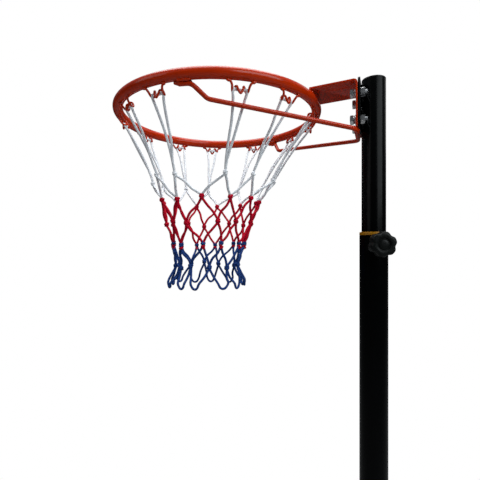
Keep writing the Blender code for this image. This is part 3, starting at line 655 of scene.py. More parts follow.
def make_ring():
    profile = [(RIM_R + BAR * math.cos(2 * PI * i / 40), BAR * math.sin(2 * PI * i / 40)) for i in range(40)]
    ring = mesh_object("rim_bar", turned(profile, 240, closed=True), Matrix.Translation(RIM), 60)
    piece(ring, RED, "head", "rim_red", "rim_ring")


def hook_frame(degrees):
    """Where a hook's own (along the rim, towards its centre, z) lies in the row frame."""
    angle = math.radians(degrees)
    along = Vector((math.cos(angle), -math.sin(angle), 0))
    inward = Vector((-math.sin(angle), -math.cos(angle), 0))
    seat = rim_point(angle, RIM_R, 0)
    return lambda t, i, z: seat + along * t + inward * i + Vector((0, 0, z))


def make_hooks():
    half = (
        (-0.0245, 0.000, 0.0), (-0.0200, 0.0005, -0.0008), (-0.0168, 0.003, -0.0056),
        (-0.0150, 0.0095, -0.0128), (-0.0122, 0.0152, -0.0118), (-0.0092, 0.0142, -0.0048),
        (-0.0064, 0.0092, -0.0046), (-0.0046, 0.0066, -0.0112), (0.0, 0.0060, -0.0180),
    )
    shape = list(half) + [(-t, i, z) for t, i, z in reversed(half[:-1])]
    for n, degrees in enumerate(HOOK_ANGLES, 1):
        rng = random.Random(100 + n)
        spot = hook_frame(degrees)
        bend = rng.uniform(-0.0007, 0.0007)
        points = [spot(t, i + bend * abs(z) * 60, z + HOOK_FOOT + rng.uniform(-0.0003, 0.0003) * (z < -0.002))
                  for t, i, z in shape]
        bm = bmesh.new()
        sweep(bm, smooth_path(points, 9), HOOK_WIRE / 2, 14)
        for side in (-1, 1):
            path = [spot(side * t, 0.0, HOOK_FOOT + 0.0013) for t in (0.0262, 0.0232, 0.0204)]
            weld(bm, path, 0.0024, n * 3.1 + side)
        piece(mesh_object(f"hook_{n:02d}", bm, None, 60), RED, "head", "rim_red", f"net_hook_{n:02d}")


def rod_arm(angles, side):
    """One arm of the brace rod, from its weld on the rim to its corner under the bracket."""
    end, bend, knee = [side * math.radians(a) for a in angles]
    weld_z = -BAR - ROD_R - GAP
    corner = Vector((side * 0.0455, BRACKET_FRONT, BRACKET_LOW.z - GAP - ROD_R))
    return [rim_point(end, RIM_R - 0.003, weld_z), rim_point(bend, RIM_R - 0.004, weld_z),
            rim_point(knee, 0.2207, -0.0415), corner]


def make_rod():
    right, left = rod_arm((82.5, 77.0, 69.8), 1), rod_arm((72.5, 69.5, 64.5), -1)
    bm = bmesh.new()
    path = rounded(right + left[::-1], 0.020, 14)
    dense = []
    for a, b in zip(path, path[1:]):
        count = max(1, int((b - a).length / 0.006))
        dense += [a.lerp(b, k / count) for k in range(count)]
    sweep(bm, dense + [path[-1]], ROD_R, 24)
    piece(mesh_object("brace_bar", bm, None, 60), RED, "head", "rim_red", "brace_rod")


def make_welds():
    """Beads where rod, rim and brackets are joined."""
    bm = bmesh.new()
    for side, (end, bend) in ((1, (82.8, 77.5)), (-1, (72.8, 69.8))):
        for k, radius in enumerate((RIM_R - 0.0075, RIM_R + 0.0022)):
            path = [rim_point(side * math.radians(end + (bend - end) * i / 4), radius, -BAR * 0.98 - 0.0005)
                    for i in range(5)]
            weld(bm, path, 0.0028, side * 5.0 + k)
        tip = rim_point(side * math.radians(end + 0.6), RIM_R - 0.003, -BAR - 0.0034)
        path = [tip + Vector((0, -0.0044, 0.001)), tip, tip + Vector((0, 0.0044, 0.001))]
        weld(bm, path, 0.0042, side * 8.0)
    under = BRACKET_LOW.z - 0.0006
    for k, y in enumerate((BRACKET_FRONT - 0.0002, BRACKET_HIGH.y + 0.0006)):
        path = [Vector((x, y, under - 0.0012)) for x in (-0.029, -0.014, 0.0, 0.014, 0.029)]
        weld(bm, path, 0.0019, 20.0 + k)
    reach = math.asin(0.044 / RIM_R)
    for n, (a, b) in enumerate(((-1.0, -0.42), (0.42, 1.0))):
        path = [rim_point(reach * (a + (b - a) * i / 6), RIM_R + 0.0060, BAR * 0.88) for i in range(7)]
        weld(bm, path, 0.0022, 30.0 + n)
    piece(mesh_object("weld_beads_red", bm, None, 60), RED, "head", "rim_red")

    bm = bmesh.new()
    for side in (-1, 1):
        x = side * 0.0125
        y = -math.sqrt(UPPER_R ** 2 - x * x) - 0.0004
        for k, (low, high) in enumerate(((0.06, 0.40), (0.60, 0.94))):
            z0 = PLATE_LOW.z + (PLATE_HIGH.z - PLATE_LOW.z) * low
            z1 = PLATE_LOW.z + (PLATE_HIGH.z - PLATE_LOW.z) * high
            path = [Vector((x, y - 0.0008, z0 + (z1 - z0) * i / 5)) for i in range(6)]
            weld(bm, path, 0.0026, 40.0 + side * 3 + k)
    piece(mesh_object("weld_beads_black", bm, None, 60), BLACK, "head", "black_paint")


# --- Brackets ---------------------------------------------------------------------------------


def drill_plate(obj, low=-0.06, high=0.0):
    """The four holes of the rim's bolts, between those two values of y."""
    for n in range(1, 5):
        spot = centre_of(f"rim_bolt_{n}")
        drilled(obj, (spot.x, 0, spot.z), (0, 1, 0), RIM_BOLT_HOLE, low, high, 40)


def make_brackets():
    half = (BRACKET_HIGH.x - BRACKET_LOW.x) / 2
    bm = box((-half, PLATE_LOW.y, PLATE_LOW.z), (half, PLATE_HIGH.y, PLATE_HIGH.z))
    corners = [e for e in bm.edges if abs(e.verts[0].co.y - e.verts[1].co.y) > 0.002]
    bmesh.ops.bevel(bm, geom=corners, offset=0.006, segments=6, affect="EDGES", profile=0.5)
    plate = mesh_object("pole_plate", bm)
    drill_plate(plate)
    piece(bevelled(plate, 0.0005, 2), BLACK, "head", "black_paint", "pole_bracket")

    under, rise, bend = 0.0150, 0.0040, 0.008
    over = under + RIM_PLATE
    rim_side = RIM_R * 0.9
    back = BRACKET_HIGH.y - RIM.y
    foot = BRACKET_LOW.z - RIM.z
    steps = 14
    arc = [PI / 2 * i / steps for i in range(steps + 1)]
    cy, cz = back - bend, over + rise - bend
    outer, inner = ([(cy + r * math.cos(a), cz + r * math.sin(a)) for a in arc]
                    for r in (bend, bend - RIM_PLATE))
    profile = [(back, foot), *outer, (rim_side, over), (rim_side, under), *reversed(inner),
               (back - RIM_PLATE, foot)]
    sections = [[RIM + Vector((x, y, z)) for y, z in profile] for x in (-half, half)]
    bracket = mesh_object("rim_plate", lofted(sections))
    lip_r = RIM_R + LIP_OFFSET
    lip = turned([(lip_r - RIM_PLATE - 0.002, BAR * 0.5), (lip_r, BAR * 0.5), (lip_r, over),
                  (lip_r - RIM_PLATE - 0.002, over)], 288, closed=True)
    lip_piece = mesh_object("lip", lip, Matrix.Translation(RIM))
    boolean(lip_piece, box((-half, RIM.y, RIM.z - 0.1), (half, 0, RIM.z + 0.1)), "INTERSECT")
    boolean(bracket, taken(lip_piece), "UNION")
    boolean(bracket, rod(lip_r - RIM_PLATE, -0.1, 0.1, 288), "DIFFERENCE", Matrix.Translation(RIM))
    drill_plate(bracket)
    piece(bevelled(bracket, 0.0005, 2), RED, "head", "rim_red", "rim_bracket")


def make_bracket_bolts():
    for n in range(1, 5):
        bolt(f"rim_bolt_{n}", "head", M10, (0, -1, 0), 0.004)
        nut(f"rim_nut_{n}", "head", M10[0], 0.0044, (0, 1, 0))
        flat_washer(f"rim_washer_{n}", 0.0053)
        spring_washer(f"rim_lock_washer_{n}", 0.0053, n * 1.3)


# --- Net --------------------------------------------------------------------------------------

NET_ROWS = {  # radius and drop below the rim's centreline of each row of knots
    "A": (0.150, 0.158), "B": (0.120, 0.205), "C": (0.104, 0.257), "D": (0.089, 0.310), "E": (0.078, 0.360),
    "F": (0.092, 0.409),
}
NET_TOP, NET_LENGTH = 0.0385, 0.3745
NET_LEAN, LEAN_POWER = 0.033, 0.65  # towards the front at the foot, and how early it starts
CORD_R = 0.0028


def net_point(degrees, radius, drop):
    lean = NET_LEAN * max(0.0, (drop - NET_TOP) / NET_LENGTH) ** LEAN_POWER
    return rim_point(math.radians(degrees), radius, -drop) - Vector((0, lean, 0))


def knot(bm, at, up, slot, rng, size=1.0, turns=2.1):
    """Cord wound round the strands that meet here, over a small core."""
    up = up.normalized()
    side = up.orthogonal().normalized()
    other = up.cross(side)
    start = rng.uniform(0, 2 * PI)
    steps = int(turns * 14)
    coil = []
    for i in range(steps + 1):
        share = i / steps
        a = start + turns * 2 * PI * share
        r = 0.0033 * size * (0.70 + 0.42 * math.sin(PI * share))
        sway = 0.0009 * size * math.sin(3 * a + start)
        turn = side * ((r + sway) * math.cos(a)) + other * (r * math.sin(a))
        coil.append(at + turn + up * (0.0074 * size * (share - 0.5) + sway))
    sweep(bm, coil, CORD_R * 0.93, 10, slot=slot, uneven=0.22, seed=start)
    sweep(bm, [at - up * 0.0032 * size, at, at + up * 0.0032 * size], 0.0030 * size, 10, slot=slot)


def strand(bm, a, b, slot, rng, slack=0.0025, waves=2, radius=CORD_R):
    """A cord from a to b that wanders a little, as a used cord does."""
    middle = []
    for k in range(1, waves + 1):
        p = a.lerp(b, k / (waves + 1))
        out = Vector((p.x - RIM.x, p.y - RIM.y, 0)).normalized()
        across = (b - a).normalized().cross(out)
        middle.append(p + out * rng.uniform(-slack, slack) + across * rng.uniform(-slack, slack))
    path = smooth_path([a, *middle, b], max(5, int((b - a).length / 0.006 / (waves + 1))))
    sweep(bm, path, radius, 10, slot=slot, uneven=0.10, seed=rng.uniform(0, 50))


def make_net():
    rng = random.Random(12)
    bm = bmesh.new()
    hooks = list(HOOK_ANGLES)
    regular = [HOOK_ANGLES[0] + 30 * i for i in range(12)]
    on = [0.35 * h + 0.65 * r for h, r in zip(hooks, regular)]
    between = [(a + b) / 2 for a, b in zip(on, on[1:] + [on[0] + 360])]
    rows = {}
    for key, angles in (("A", hooks), ("B", between), ("C", on), ("D", between), ("E", on), ("F", between)):
        radius, drop = NET_ROWS[key]
        wide = {"A": 1.0, "B": 3.0, "C": 4.0, "D": 4.5, "E": 5.5, "F": 7.0}[key]
        rows[key] = [net_point(a + rng.uniform(-wide, wide), radius * rng.uniform(0.97, 1.03),
                               drop + rng.uniform(-0.004, 0.004)) for a in angles]
    up = Vector((0, 0, 1))
    for i, degrees in enumerate(hooks):
        spot = hook_frame(degrees)
        z = HOOK_FOOT
        top = [spot(-0.0135, 0.0100, z - 0.0115), spot(-0.005, 0.0128, z - 0.0100),
               spot(0.005, 0.0128, z - 0.0100), spot(0.0135, 0.0100, z - 0.0115)]
        knot_a = rows["A"][i]
        legs = []
        for side, start in ((-1, top[0]), (1, top[-1])):
            end = knot_a + up * 0.004 + (start - knot_a).normalized() * 0.001
            points = []
            for k in (0.12, 0.35, 0.6, 0.85):
                p = start.lerp(end, k)
                out = Vector((p.x - RIM.x, p.y - RIM.y, 0)).normalized()
                around = up.cross(out)
                bulge = math.sin(PI * k) * 0.004
                points.append(p + out * (rng.uniform(-0.002, 0.002) - bulge)
                              + around * (rng.uniform(-0.002, 0.002) + side * 0.002 * math.sin(PI * k)))
            legs.append([*points, end])
        path = smooth_path([*reversed(legs[0]), *top, *legs[1]], 6)
        sweep(bm, path, CORD_R * 0.95, 10, slot=0, uneven=0.12, seed=i * 3.7)
        knot(bm, knot_a, knot_a - spot(0, 0, -0.6), 0, rng, 0.80, 1.6)
    for upper, lower, slot, shift in (("A", "B", 0, 0), ("B", "C", 1, 1), ("C", "D", 1, 0), ("D", "E", 2, 1)):
        for i in range(12):
            start = rows[upper][i]
            for j in ((i - 1) % 12, i) if shift == 0 else (i, (i + 1) % 12):
                end = rows[lower][j]
                strand(bm, start - up * 0.003, end + up * 0.003, slot, rng, 0.003)
    for key, slot, size in (("B", 1, 1.0), ("C", 1, 1.0), ("E", 2, 1.05)):
        for p in rows[key]:
            lean = Vector((rng.uniform(-0.4, 0.4), rng.uniform(-0.4, 0.4), 1))
            knot(bm, p, lean, slot, rng, size, rng.uniform(1.8, 2.4))
    for p in rows["D"]:
        lean = Vector((rng.uniform(-0.3, 0.3), rng.uniform(-0.3, 0.3), 1))
        knot(bm, p + up * 0.002, lean, 2, rng, 0.95, 1.8)
        knot(bm, p - up * 0.0055, lean, 1, rng, 0.85, 1.1)
    for i in range(12):
        a, b, foot = rows["E"][i], rows["E"][(i + 1) % 12], rows["F"][i]
        out = Vector((foot.x - RIM.x, foot.y - RIM.y + NET_LEAN, 0)).normalized()
        around = up.cross(out)
        if (b - a).dot(around) < 0:
            around = -around
        wide, swing = rng.uniform(0.008, 0.013), rng.uniform(-0.004, 0.004)
        low = foot + out * rng.uniform(-0.004, 0.004)
        path = [a - up * 0.003, a.lerp(low, 0.45) - around * rng.uniform(0.001, 0.005) + out * swing,
                low - around * wide + up * 0.012, low - around * wide * 0.55 + up * 0.002, low - up * 0.001,
                low + around * wide * 0.55 + up * 0.002, low + around * wide + up * 0.012,
                b.lerp(low, 0.45) + around * rng.uniform(0.001, 0.005) - out * swing, b - up * 0.003]
        sweep(bm, smooth_path(path, 6), CORD_R, 10, slot=2, uneven=0.10, seed=i * 1.9)
    net = mesh_object("net_cords", bm, None, 70)
    piece(net, [CORD_WHITE, CORD_RED, CORD_BLUE], "head", "net_cord", "net")


# --- Poles, collar and clamp ------------------------------------------------------------------


def make_poles():
    low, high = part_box("upper_pole")
    tube = mesh_object("upper_tube", sleeve(UPPER_R - WALL, UPPER_R, low.z, high.z, 0.0004, 3, 128))
    piece(tube, BLACK, "head", "black_paint", "upper_pole")

    low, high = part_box("pole_cap")
    base, spigot = low.z + 0.020, UPPER_R - WALL - GAP
    profile = rounded([(0, low.z), (spigot, low.z), (spigot, base), (UPPER_R, base),
                       (UPPER_R, high.z - 0.0002), (UPPER_R * 0.86, high.z), (0, high.z)], 0.0012, 5)
    piece(mesh_object("pole_cap_look", turned(profile, 128)), CAP, "head", "black_plastic", "pole_cap")

    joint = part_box("mid_pole")[0].z
    screw = centre_of("section_screw").z
    bore = LOWER_R - WALL
    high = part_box("mid_pole")[1].z
    zones = (RIVET_Z - 0.006, RIVET_Z + 0.004, CLAMP_Z - 0.009, CLAMP_Z + 0.009, screw - 0.008, screw + 0.008)
    outer = [(LOWER_R - 0.0004, joint), (LOWER_R, joint + 0.0004),
             *[(LOWER_R, z) for z in sorted(zones)], (LOWER_R, high - 0.0004), (LOWER_R - 0.0004, high)]
    inner = [(bore, z) for _, z in reversed(outer[1:-1])]
    pole = mesh_object("mid_tube", turned(outer + inner, 128, closed=True))
    drilled(pole, (0, 0, CLAMP_Z), CLAMP_AXIS, CLAMP_HOLE, 0.01, 0.04)
    drilled(pole, (0, 0, RIVET_Z), CLAMP_AXIS, RIVET_HOLE, 0.01, 0.04)
    drilled(pole, (0, 0, screw), (0, 1, 0), SCREW_HOLE, 0.01, 0.04)
    piece(pole, BLACK, "stand", "black_paint", "mid_pole")

    low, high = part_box("base_pole")
    swage_r, shoulder = bore - 0.0004, joint - 0.007
    bolt_z = centre_of("strut_top_bolt").z
    outer = [(LOWER_R, low.z), (LOWER_R, bolt_z - 0.008), (LOWER_R, bolt_z + 0.008), (LOWER_R, shoulder),
             (swage_r, shoulder + 0.006), (swage_r, screw - 0.008), (swage_r, screw + 0.008),
             (swage_r, high.z)]
    inner = [(r - WALL, z) for r, z in reversed(outer)]
    pole = mesh_object("base_tube", turned(outer + inner, 128, closed=True), None, 25)
    drilled(pole, (0, 0, bolt_z), (1, 0, 0), STRUT_HOLE, -0.04, 0.04)
    drilled(pole, (0, 0, screw), (0, 1, 0), SCREW_HOLE, 0.01, 0.04)
    piece(pole, BLACK, "stand", "black_paint", "base_pole")
    bolt("section_screw", "stand", M6, (0, 1, 0))


def make_collar():
    low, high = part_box("collar_bush")
    bore = UPPER_R + 0.0003
    flange = high.z - 0.0065
    body = LOWER_R - WALL - GAP
    zones = (RIVET_Z - 0.005, RIVET_Z + 0.004, CLAMP_Z - 0.009, CLAMP_Z + 0.009)
    profile = [(bore + 0.0006, low.z), (body - 0.0004, low.z), (body, low.z + 0.0006),
               *[(body, z) for z in zones], (body, flange), (LOWER_R - 0.0003, flange),
               (LOWER_R, flange + 0.0003), (LOWER_R, high.z - 0.0014), (LOWER_R - 0.0004, high.z - 0.0005),
               (LOWER_R - 0.0013, high.z), (bore + 0.0008, high.z), (bore, high.z - 0.0008),
               *[(bore, z) for z in reversed(zones)], (bore, low.z + 0.0006)]
    bush = mesh_object("collar_look", turned(profile, 128, closed=True))
    for z, radius in ((CLAMP_Z, CLAMP_HOLE), (RIVET_Z, RIVET_HOLE)):
        drilled(bush, (0, 0, z), CLAMP_AXIS, radius, 0.01, 0.04)
    piece(bush, YELLOW, "stand", "yellow_plastic", "collar_bush")


KNOB_R, KNOB_NOTCH = 0.025, 0.0030


def lobes(radius, inset, a, notch):
    """The knob's radius at angle a: six lobes with notches between them."""
    return radius - inset - notch * (0.5 + 0.5 * math.cos(6 * (a - math.radians(20)))) ** 2


def clamp_frame(z):
    """A matrix that puts local +Z along the clamp's axis at height z."""
    turn = Matrix.Rotation(CLAMP_TURN, 4, "Z")
    return Matrix.Translation((0, 0, z)) @ turn @ Matrix.Rotation(PI / 2, 4, "Y")


def make_clamp():
    along = clamp_frame(CLAMP_Z)
    aside = Vector((-CLAMP_AXIS.y, CLAMP_AXIS.x, 0))
    boss_end = LOWER_R + 0.0110
    boss = mesh_object("boss", sleeve(CLAMP_HOLE, 0.010, 0.015, boss_end, 0.0010, 4, 72), along)
    boolean(boss, rod(LOWER_R + GAP, -0.03, 0.03, 128), "DIFFERENCE", Matrix.Translation((0, 0, CLAMP_Z)))
    bm = taken(boss)
    ring = []
    for i in range(61):
        a = 2 * PI * i / 60
        across = 0.0108 * math.cos(a)
        reach = math.sqrt((LOWER_R + 0.0004) ** 2 - across ** 2)
        ring.append(Vector((0, 0, CLAMP_Z + 0.0108 * math.sin(a))) + CLAMP_AXIS * reach + aside * across)
    sweep(bm, ring[:-1], 0.0014, 8, closed=True, uneven=0.3, seed=3)
    piece(mesh_object("boss_look", bm), BLACK, "stand", "black_paint", "clamp_boss")

    hub = boss_end + 0.0005
    face, front = hub + 0.0025, hub + 0.0025 + 0.028
    grip = [  # z, inset from the lobes' tops, share of the notch
        (face, 0.0042, 1.0), (face + 0.0008, 0.0022, 1.0), (face + 0.0025, 0.0008, 1.0),
        (face + 0.0050, 0.0001, 1.0), (face + 0.0090, 0.0, 1.0), (front - 0.0090, 0.0, 1.0),
        (front - 0.0050, 0.0002, 1.0), (front - 0.0028, 0.0010, 1.0), (front - 0.0012, 0.0024, 0.9),
        (front - 0.0003, 0.0044, 0.7), (front, 0.0066, 0.4),
    ]
    dish = [  # depth below the front, radius
        (0.0, 0.0150), (0.0003, 0.0138), (0.0012, 0.0128), (0.0032, 0.0122), (0.0036, 0.0112),
        (0.0034, 0.0098), (0.0022, 0.0092), (0.0016, 0.0080), (0.0010, 0.0055), (0.0007, 0.0028),
    ]
    angles = [2 * PI * i / 144 for i in range(144)]
    rings = [(z, [lobes(KNOB_R, inset, a, KNOB_NOTCH * share) for a in angles]) for z, inset, share in grip]
    rings += [(front - depth, [radius] * len(angles)) for depth, radius in dish]
    sections = [[Vector((r * math.cos(a), r * math.sin(a), z)) for r, a in zip(radii, angles)]
                for z, radii in rings]
    bm = lofted(sections)
    stub = [(CLAMP_HOLE, hub), (0.013, hub), (0.0135, face + 0.001), (CLAMP_HOLE, face + 0.001)]
    join(bm, turned(rounded(stub, 0.0006, 3, closed=True), 96, closed=True))
    piece(mesh_object("knob_look", bm, along, 50), KNOB, "clamp_screw", "black_plastic", "clamp_knob")

    low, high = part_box("bush_rivet")
    rivet_z = (low.z + high.z) / 2
    head = [(0, 0.0250), (0.0016, 0.0250), (0.0016, LOWER_R + GAP), (0.0033, LOWER_R + GAP),
            (0.0032, LOWER_R + 0.0007), (0.0026, LOWER_R + 0.0013), (0.0015, LOWER_R + 0.0016),
            (0, LOWER_R + 0.0017)]
    rivet = mesh_object("rivet_look", turned(head, 40), clamp_frame(rivet_z), 60)
    piece(rivet, BLACK, "stand", "black_paint", "bush_rivet")


# --- Base -------------------------------------------------------------------------------------


def outline(half_width, front, back, corner, z, steps=14):
    """A rectangle with round corners at height z, counter-clockwise."""
    centres = ((half_width - corner, back - corner, 0), (-half_width + corner, back - corner, 90),
               (-half_width + corner, front + corner, 180), (half_width - corner, front + corner, 270))
    points = []
    for x, y, start in centres:
        for i in range(steps + 1):
            a = math.radians(start + 90 * i / steps)
            points.append(Vector((x + corner * math.cos(a), y + corner * math.sin(a), z)))
    return points


def groove(x, y):
    """How deep the moulded channels are at a spot on the top, from 0 to 1."""
    deepest = 0.0
    for centre, start, end in ((0.105, -0.055, 0.42), (0.150, -0.025, 0.30)):
        along = max(start - y, y - end, 0.0)
        gap = math.hypot(abs(abs(x) - centre), along)
        deepest = max(deepest, 1 - min(1.0, max(0.0, (gap - 0.004) / 0.007)))
    ring = abs(math.hypot(x, y - 0.405) - 0.048)
    deepest = max(deepest, 0.6 * (1 - min(1.0, max(0.0, (ring - 0.002) / 0.005))))
    return deepest * deepest * (3 - 2 * deepest)


FILLER_Y = centre_of("filler_plug").y
FILLER_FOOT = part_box("filler_plug")[0].z - 0.012
FILLER_MOUTH = 0.0215
STRUT_FOOT_X, STRUT_FOOT_Y, STRUT_PAD_Z = 0.190, 0.360, 0.1563
BASE_HALF_WIDTH, BASE_FRONT, BASE_BACK, BASE_CORNER = 0.280, -0.130, 0.500, 0.090
NOSE_HALF_WIDTH, NOSE_FRONT, NOSE_CORNER = 0.185, -0.235, 0.035


def make_tank():
    levels = ((0.0, 0.006), (0.003, 0.002), (0.008, 0.0), (0.070, 0.006), (0.0735, 0.0050), (0.077, 0.0068),
              (0.120, 0.013), (0.134, 0.0165), (0.142, 0.022), (0.147, 0.029), (0.150, 0.040))
    body = mesh_object("tank_look", lofted([
        outline(BASE_HALF_WIDTH - s, BASE_FRONT + s, BASE_BACK - s, BASE_CORNER - s, z) for z, s in levels]))
    levels = ((0.0, 0.004), (0.004, 0.0), (0.100, 0.003), (0.110, 0.007), (0.116, 0.013), (0.118, 0.022))
    nose = lofted([
        outline(NOSE_HALF_WIDTH - s, NOSE_FRONT + s, -0.080, NOSE_CORNER - s, z) for z, s in levels])
    boolean(body, nose, "UNION")
    pocket = lofted([outline(0.173, -0.223, -0.134, 0.026, z) for z in (-0.01, 0.104)])
    boolean(body, pocket, "DIFFERENCE")
    remesh = body.modifiers.new("even", "REMESH")
    remesh.mode, remesh.voxel_size = "VOXEL", 0.004
    relax = body.modifiers.new("relax", "SMOOTH")
    relax.factor, relax.iterations = 0.5, 7
    bake(body, 180)
    mouth = rod(FILLER_MOUTH, FILLER_FOOT, 0.200, 72)
    boolean(body, mouth, "DIFFERENCE", Matrix.Translation((0, FILLER_Y, 0)))
    for v in body.data.vertices:
        if v.co.z > 0.140 and math.hypot(v.co.x, v.co.y) > 0.070:
            v.co.z -= 0.0045 * groove(v.co.x, v.co.y) * min(1.0, (v.co.z - 0.140) / 0.006)
    bm = taken(body)

    def add(profile, segments, x, y):
        extra = turned(profile, segments, closed=True)
        bmesh.ops.translate(extra, vec=(x, y, 0), verts=extra.verts)
        join(bm, extra)

    bore = LOWER_R + 0.0006
    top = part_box("base_tank")[1].z
    tower = rounded([(bore, 0.140), (0.078, 0.1475), (0.066, 0.1515), (0.056, 0.158), (0.0445, top - 0.010),
                     (0.0440, top), (bore, top)], 0.006, 5, closed=True)
    add(tower, 96, 0, 0)
    for k in range(8):
        a = PI / 8 + PI / 4 * k
        fin = box((0.040, -0.0025, 0.148), (0.058, 0.0025, 0.176))
        for v in fin.verts:
            if v.co.x > 0.05 and v.co.z > 0.16:
                v.co.x = 0.047
        bmesh.ops.bevel(fin, geom=fin.edges[:], offset=0.0012, segments=2, affect="EDGES")
        bmesh.ops.transform(fin, matrix=Matrix.Rotation(a, 4, "Z"), verts=fin.verts)
        join(bm, fin)
    for side in (-1, 1):
        pad = rounded([(0.0044, 0.142), (0.034, 0.1480), (0.0285, 0.1512), (0.026, 0.1560), (0.0044, 0.1560)],
                      0.0016, 4, closed=True)
        add(pad, 64, side * STRUT_FOOT_X, STRUT_FOOT_Y)
    neck = rounded([(0.0203, 0.140), (0.040, 0.1478), (0.0325, 0.1512), (0.030, 0.1580), (0.0203, 0.1580)],
                   0.0014, 4, closed=True)
    add(neck, 72, 0, FILLER_Y)
    piece(mesh_object("tank_look", bm, None, 50), TANK, "stand", "black_plastic", "base_tank")


def make_plug():
    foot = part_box("filler_plug")[0].z
    seat = 0.1583
    stem, rim = 0.0197, 0.027
    profile = rounded([(0, foot), (stem - 0.002, foot), (stem, foot + 0.002), (stem, seat), (rim, seat),
                       (rim, seat + 0.0045), (rim - 0.002, seat + 0.006), (0.018, seat + 0.006),
                       (0.017, seat + 0.0050), (0, seat + 0.0050)], 0.0007, 3)

    def ribs(a, radius, z):
        if radius > rim - 0.001 and seat < z < seat + 0.005:
            return radius - 0.0006 * (0.5 + 0.5 * math.cos(36 * a))
        return radius

    bm = turned(profile, 216, wobble=ribs)
    grip = box((-0.018, -0.004, seat + 0.002), (0.018, 0.004, seat + 0.014))
    bmesh.ops.bevel(grip, geom=grip.edges[:], offset=0.0022, segments=4, affect="EDGES")
    join(bm, grip)
    plug = mesh_object("plug_look", bm, Matrix.Translation((0, FILLER_Y, 0)), 50)
    piece(plug, CAP, "filler_plug", "black_plastic", "filler_plug")


def inner_end(low, high, middle, side):
    """The middle of the end that faces the tank, of a body between low.x and high.x."""
    return Vector((low.x if side > 0 else high.x, middle.y, middle.z))


def make_wheels():
    for name, side in (("left", -1), ("right", 1)):
        low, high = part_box(f"wheel_{name}")
        middle = (low + high) / 2
        radius, wide = (high.z - low.z) / 2, high.x - low.x
        bore = 0.0053
        flank = [(0.037, 0.004), (0.0425, 0.0012), (radius - 0.006, 0.0004), (radius - 0.002, 0.0018),
                 (radius - 0.0004, 0.0045)]
        tyre = [*flank, *[(radius, 0.0065 + (wide - 0.013) * i / 16) for i in range(17)],
                *[(r, wide - z) for r, z in reversed(flank)]]

        def tread(a, r, z):
            if r < radius - 0.001:
                return r
            slant = a + abs(z - wide / 2) * 9
            cut = 1 if math.cos(24 * slant) > 0.80 else 0
            rib = 1 if abs(z - wide / 2) < 0.0012 else 0
            return r - 0.0012 * max(cut, rib)

        bm = turned(tyre, 288, closed=True, wobble=tread)
        rings, count = [], 120
        radii = (bore, 0.0095, 0.0105, 0.0135, 0.0160, 0.0165, 0.0300, 0.0330, 0.0335, 0.0360, 0.0385)

        def relief(r, a, outer):
            """Height of the hub's face: boss, five spokes and rim band."""
            spoke = max(0.0, math.cos(5 * a)) > 0.45
            if r <= 0.0135:
                return wide - 0.0004 if outer else 0.0004
            if r >= 0.0335:
                return wide - 0.0045 if outer else 0.0045
            return (wide - 0.0060 if spoke else wide - 0.0115) if outer else (0.0060 if spoke else 0.0115)

        for outer in (False, True):
            group = []
            for r in radii:
                angles = [2 * PI * i / count for i in range(count)]
                group.append([bm.verts.new((r * math.cos(a), r * math.sin(a), relief(r, a, outer)))
                              for a in angles])
            rings.append(group)
        inner, outer = rings
        loop = [*inner, *reversed(outer)]
        for lower, upper in zip(loop, loop[1:] + [loop[0]]):
            bridge(bm, lower, upper)
        place = facing(inner_end(low, high, middle, side), (side, 0, 0))
        obj = mesh_object(f"wheel_{name}_look", bm, place, 30)
        piece(obj, TYRE, f"wheel_{name}", "black_plastic", f"wheel_{name}")

        low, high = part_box(f"axle_cap_{name}")
        length = high.x - low.x
        profile = rounded([(0.0052, length - 0.0022), (0.0052, 0.0), (0.012, 0.0), (0.012, length - 0.004),
                           (0.0095, length - 0.0008), (0.006, length), (0, length)], 0.0008, 4)
        place = facing(inner_end(low, high, middle, side), (side, 0, 0))
        cap = mesh_object(f"axle_cap_{name}_look", turned([(0, length - 0.0022), *profile], 72), place, 50)
        piece(cap, ZINC, "stand", "zinc", f"axle_cap_{name}")
    low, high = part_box("wheel_axle")
    half = (high.x - low.x) / 2
    profile = rounded([(0, -half), (0.005, -half), (0.005, half), (0, half)], 0.0008, 3)
    axle = mesh_object("axle_look", turned(profile, 48), facing((low + high) / 2, (1, 0, 0)))
    piece(axle, ZINC, "stand", "zinc", "wheel_axle")


def strut_section(centre, along, normal, half_width, half_thick, count=28):
    """The outline of a rod that is round where its half sizes are equal and flat where they differ."""
    normal = (normal - along * normal.dot(along)).normalized()
    side = along.cross(normal)
    loop = []
    for i in range(count):
        a = 2 * PI * i / count
        power = 0.5 + 0.5 * min(1.0, half_thick / half_width)
        lift = math.copysign(abs(math.sin(a)) ** power, math.sin(a))
        loop.append(centre + side * (half_width * math.cos(a)) + normal * (half_thick * lift))
    return loop


TAB_ENDS = (  # distance past the bolt, half width
    (0.0130, 0.004), (0.0115, 0.0085), (0.008, 0.0112), (0.003, 0.0127), (-0.004, 0.013),
)


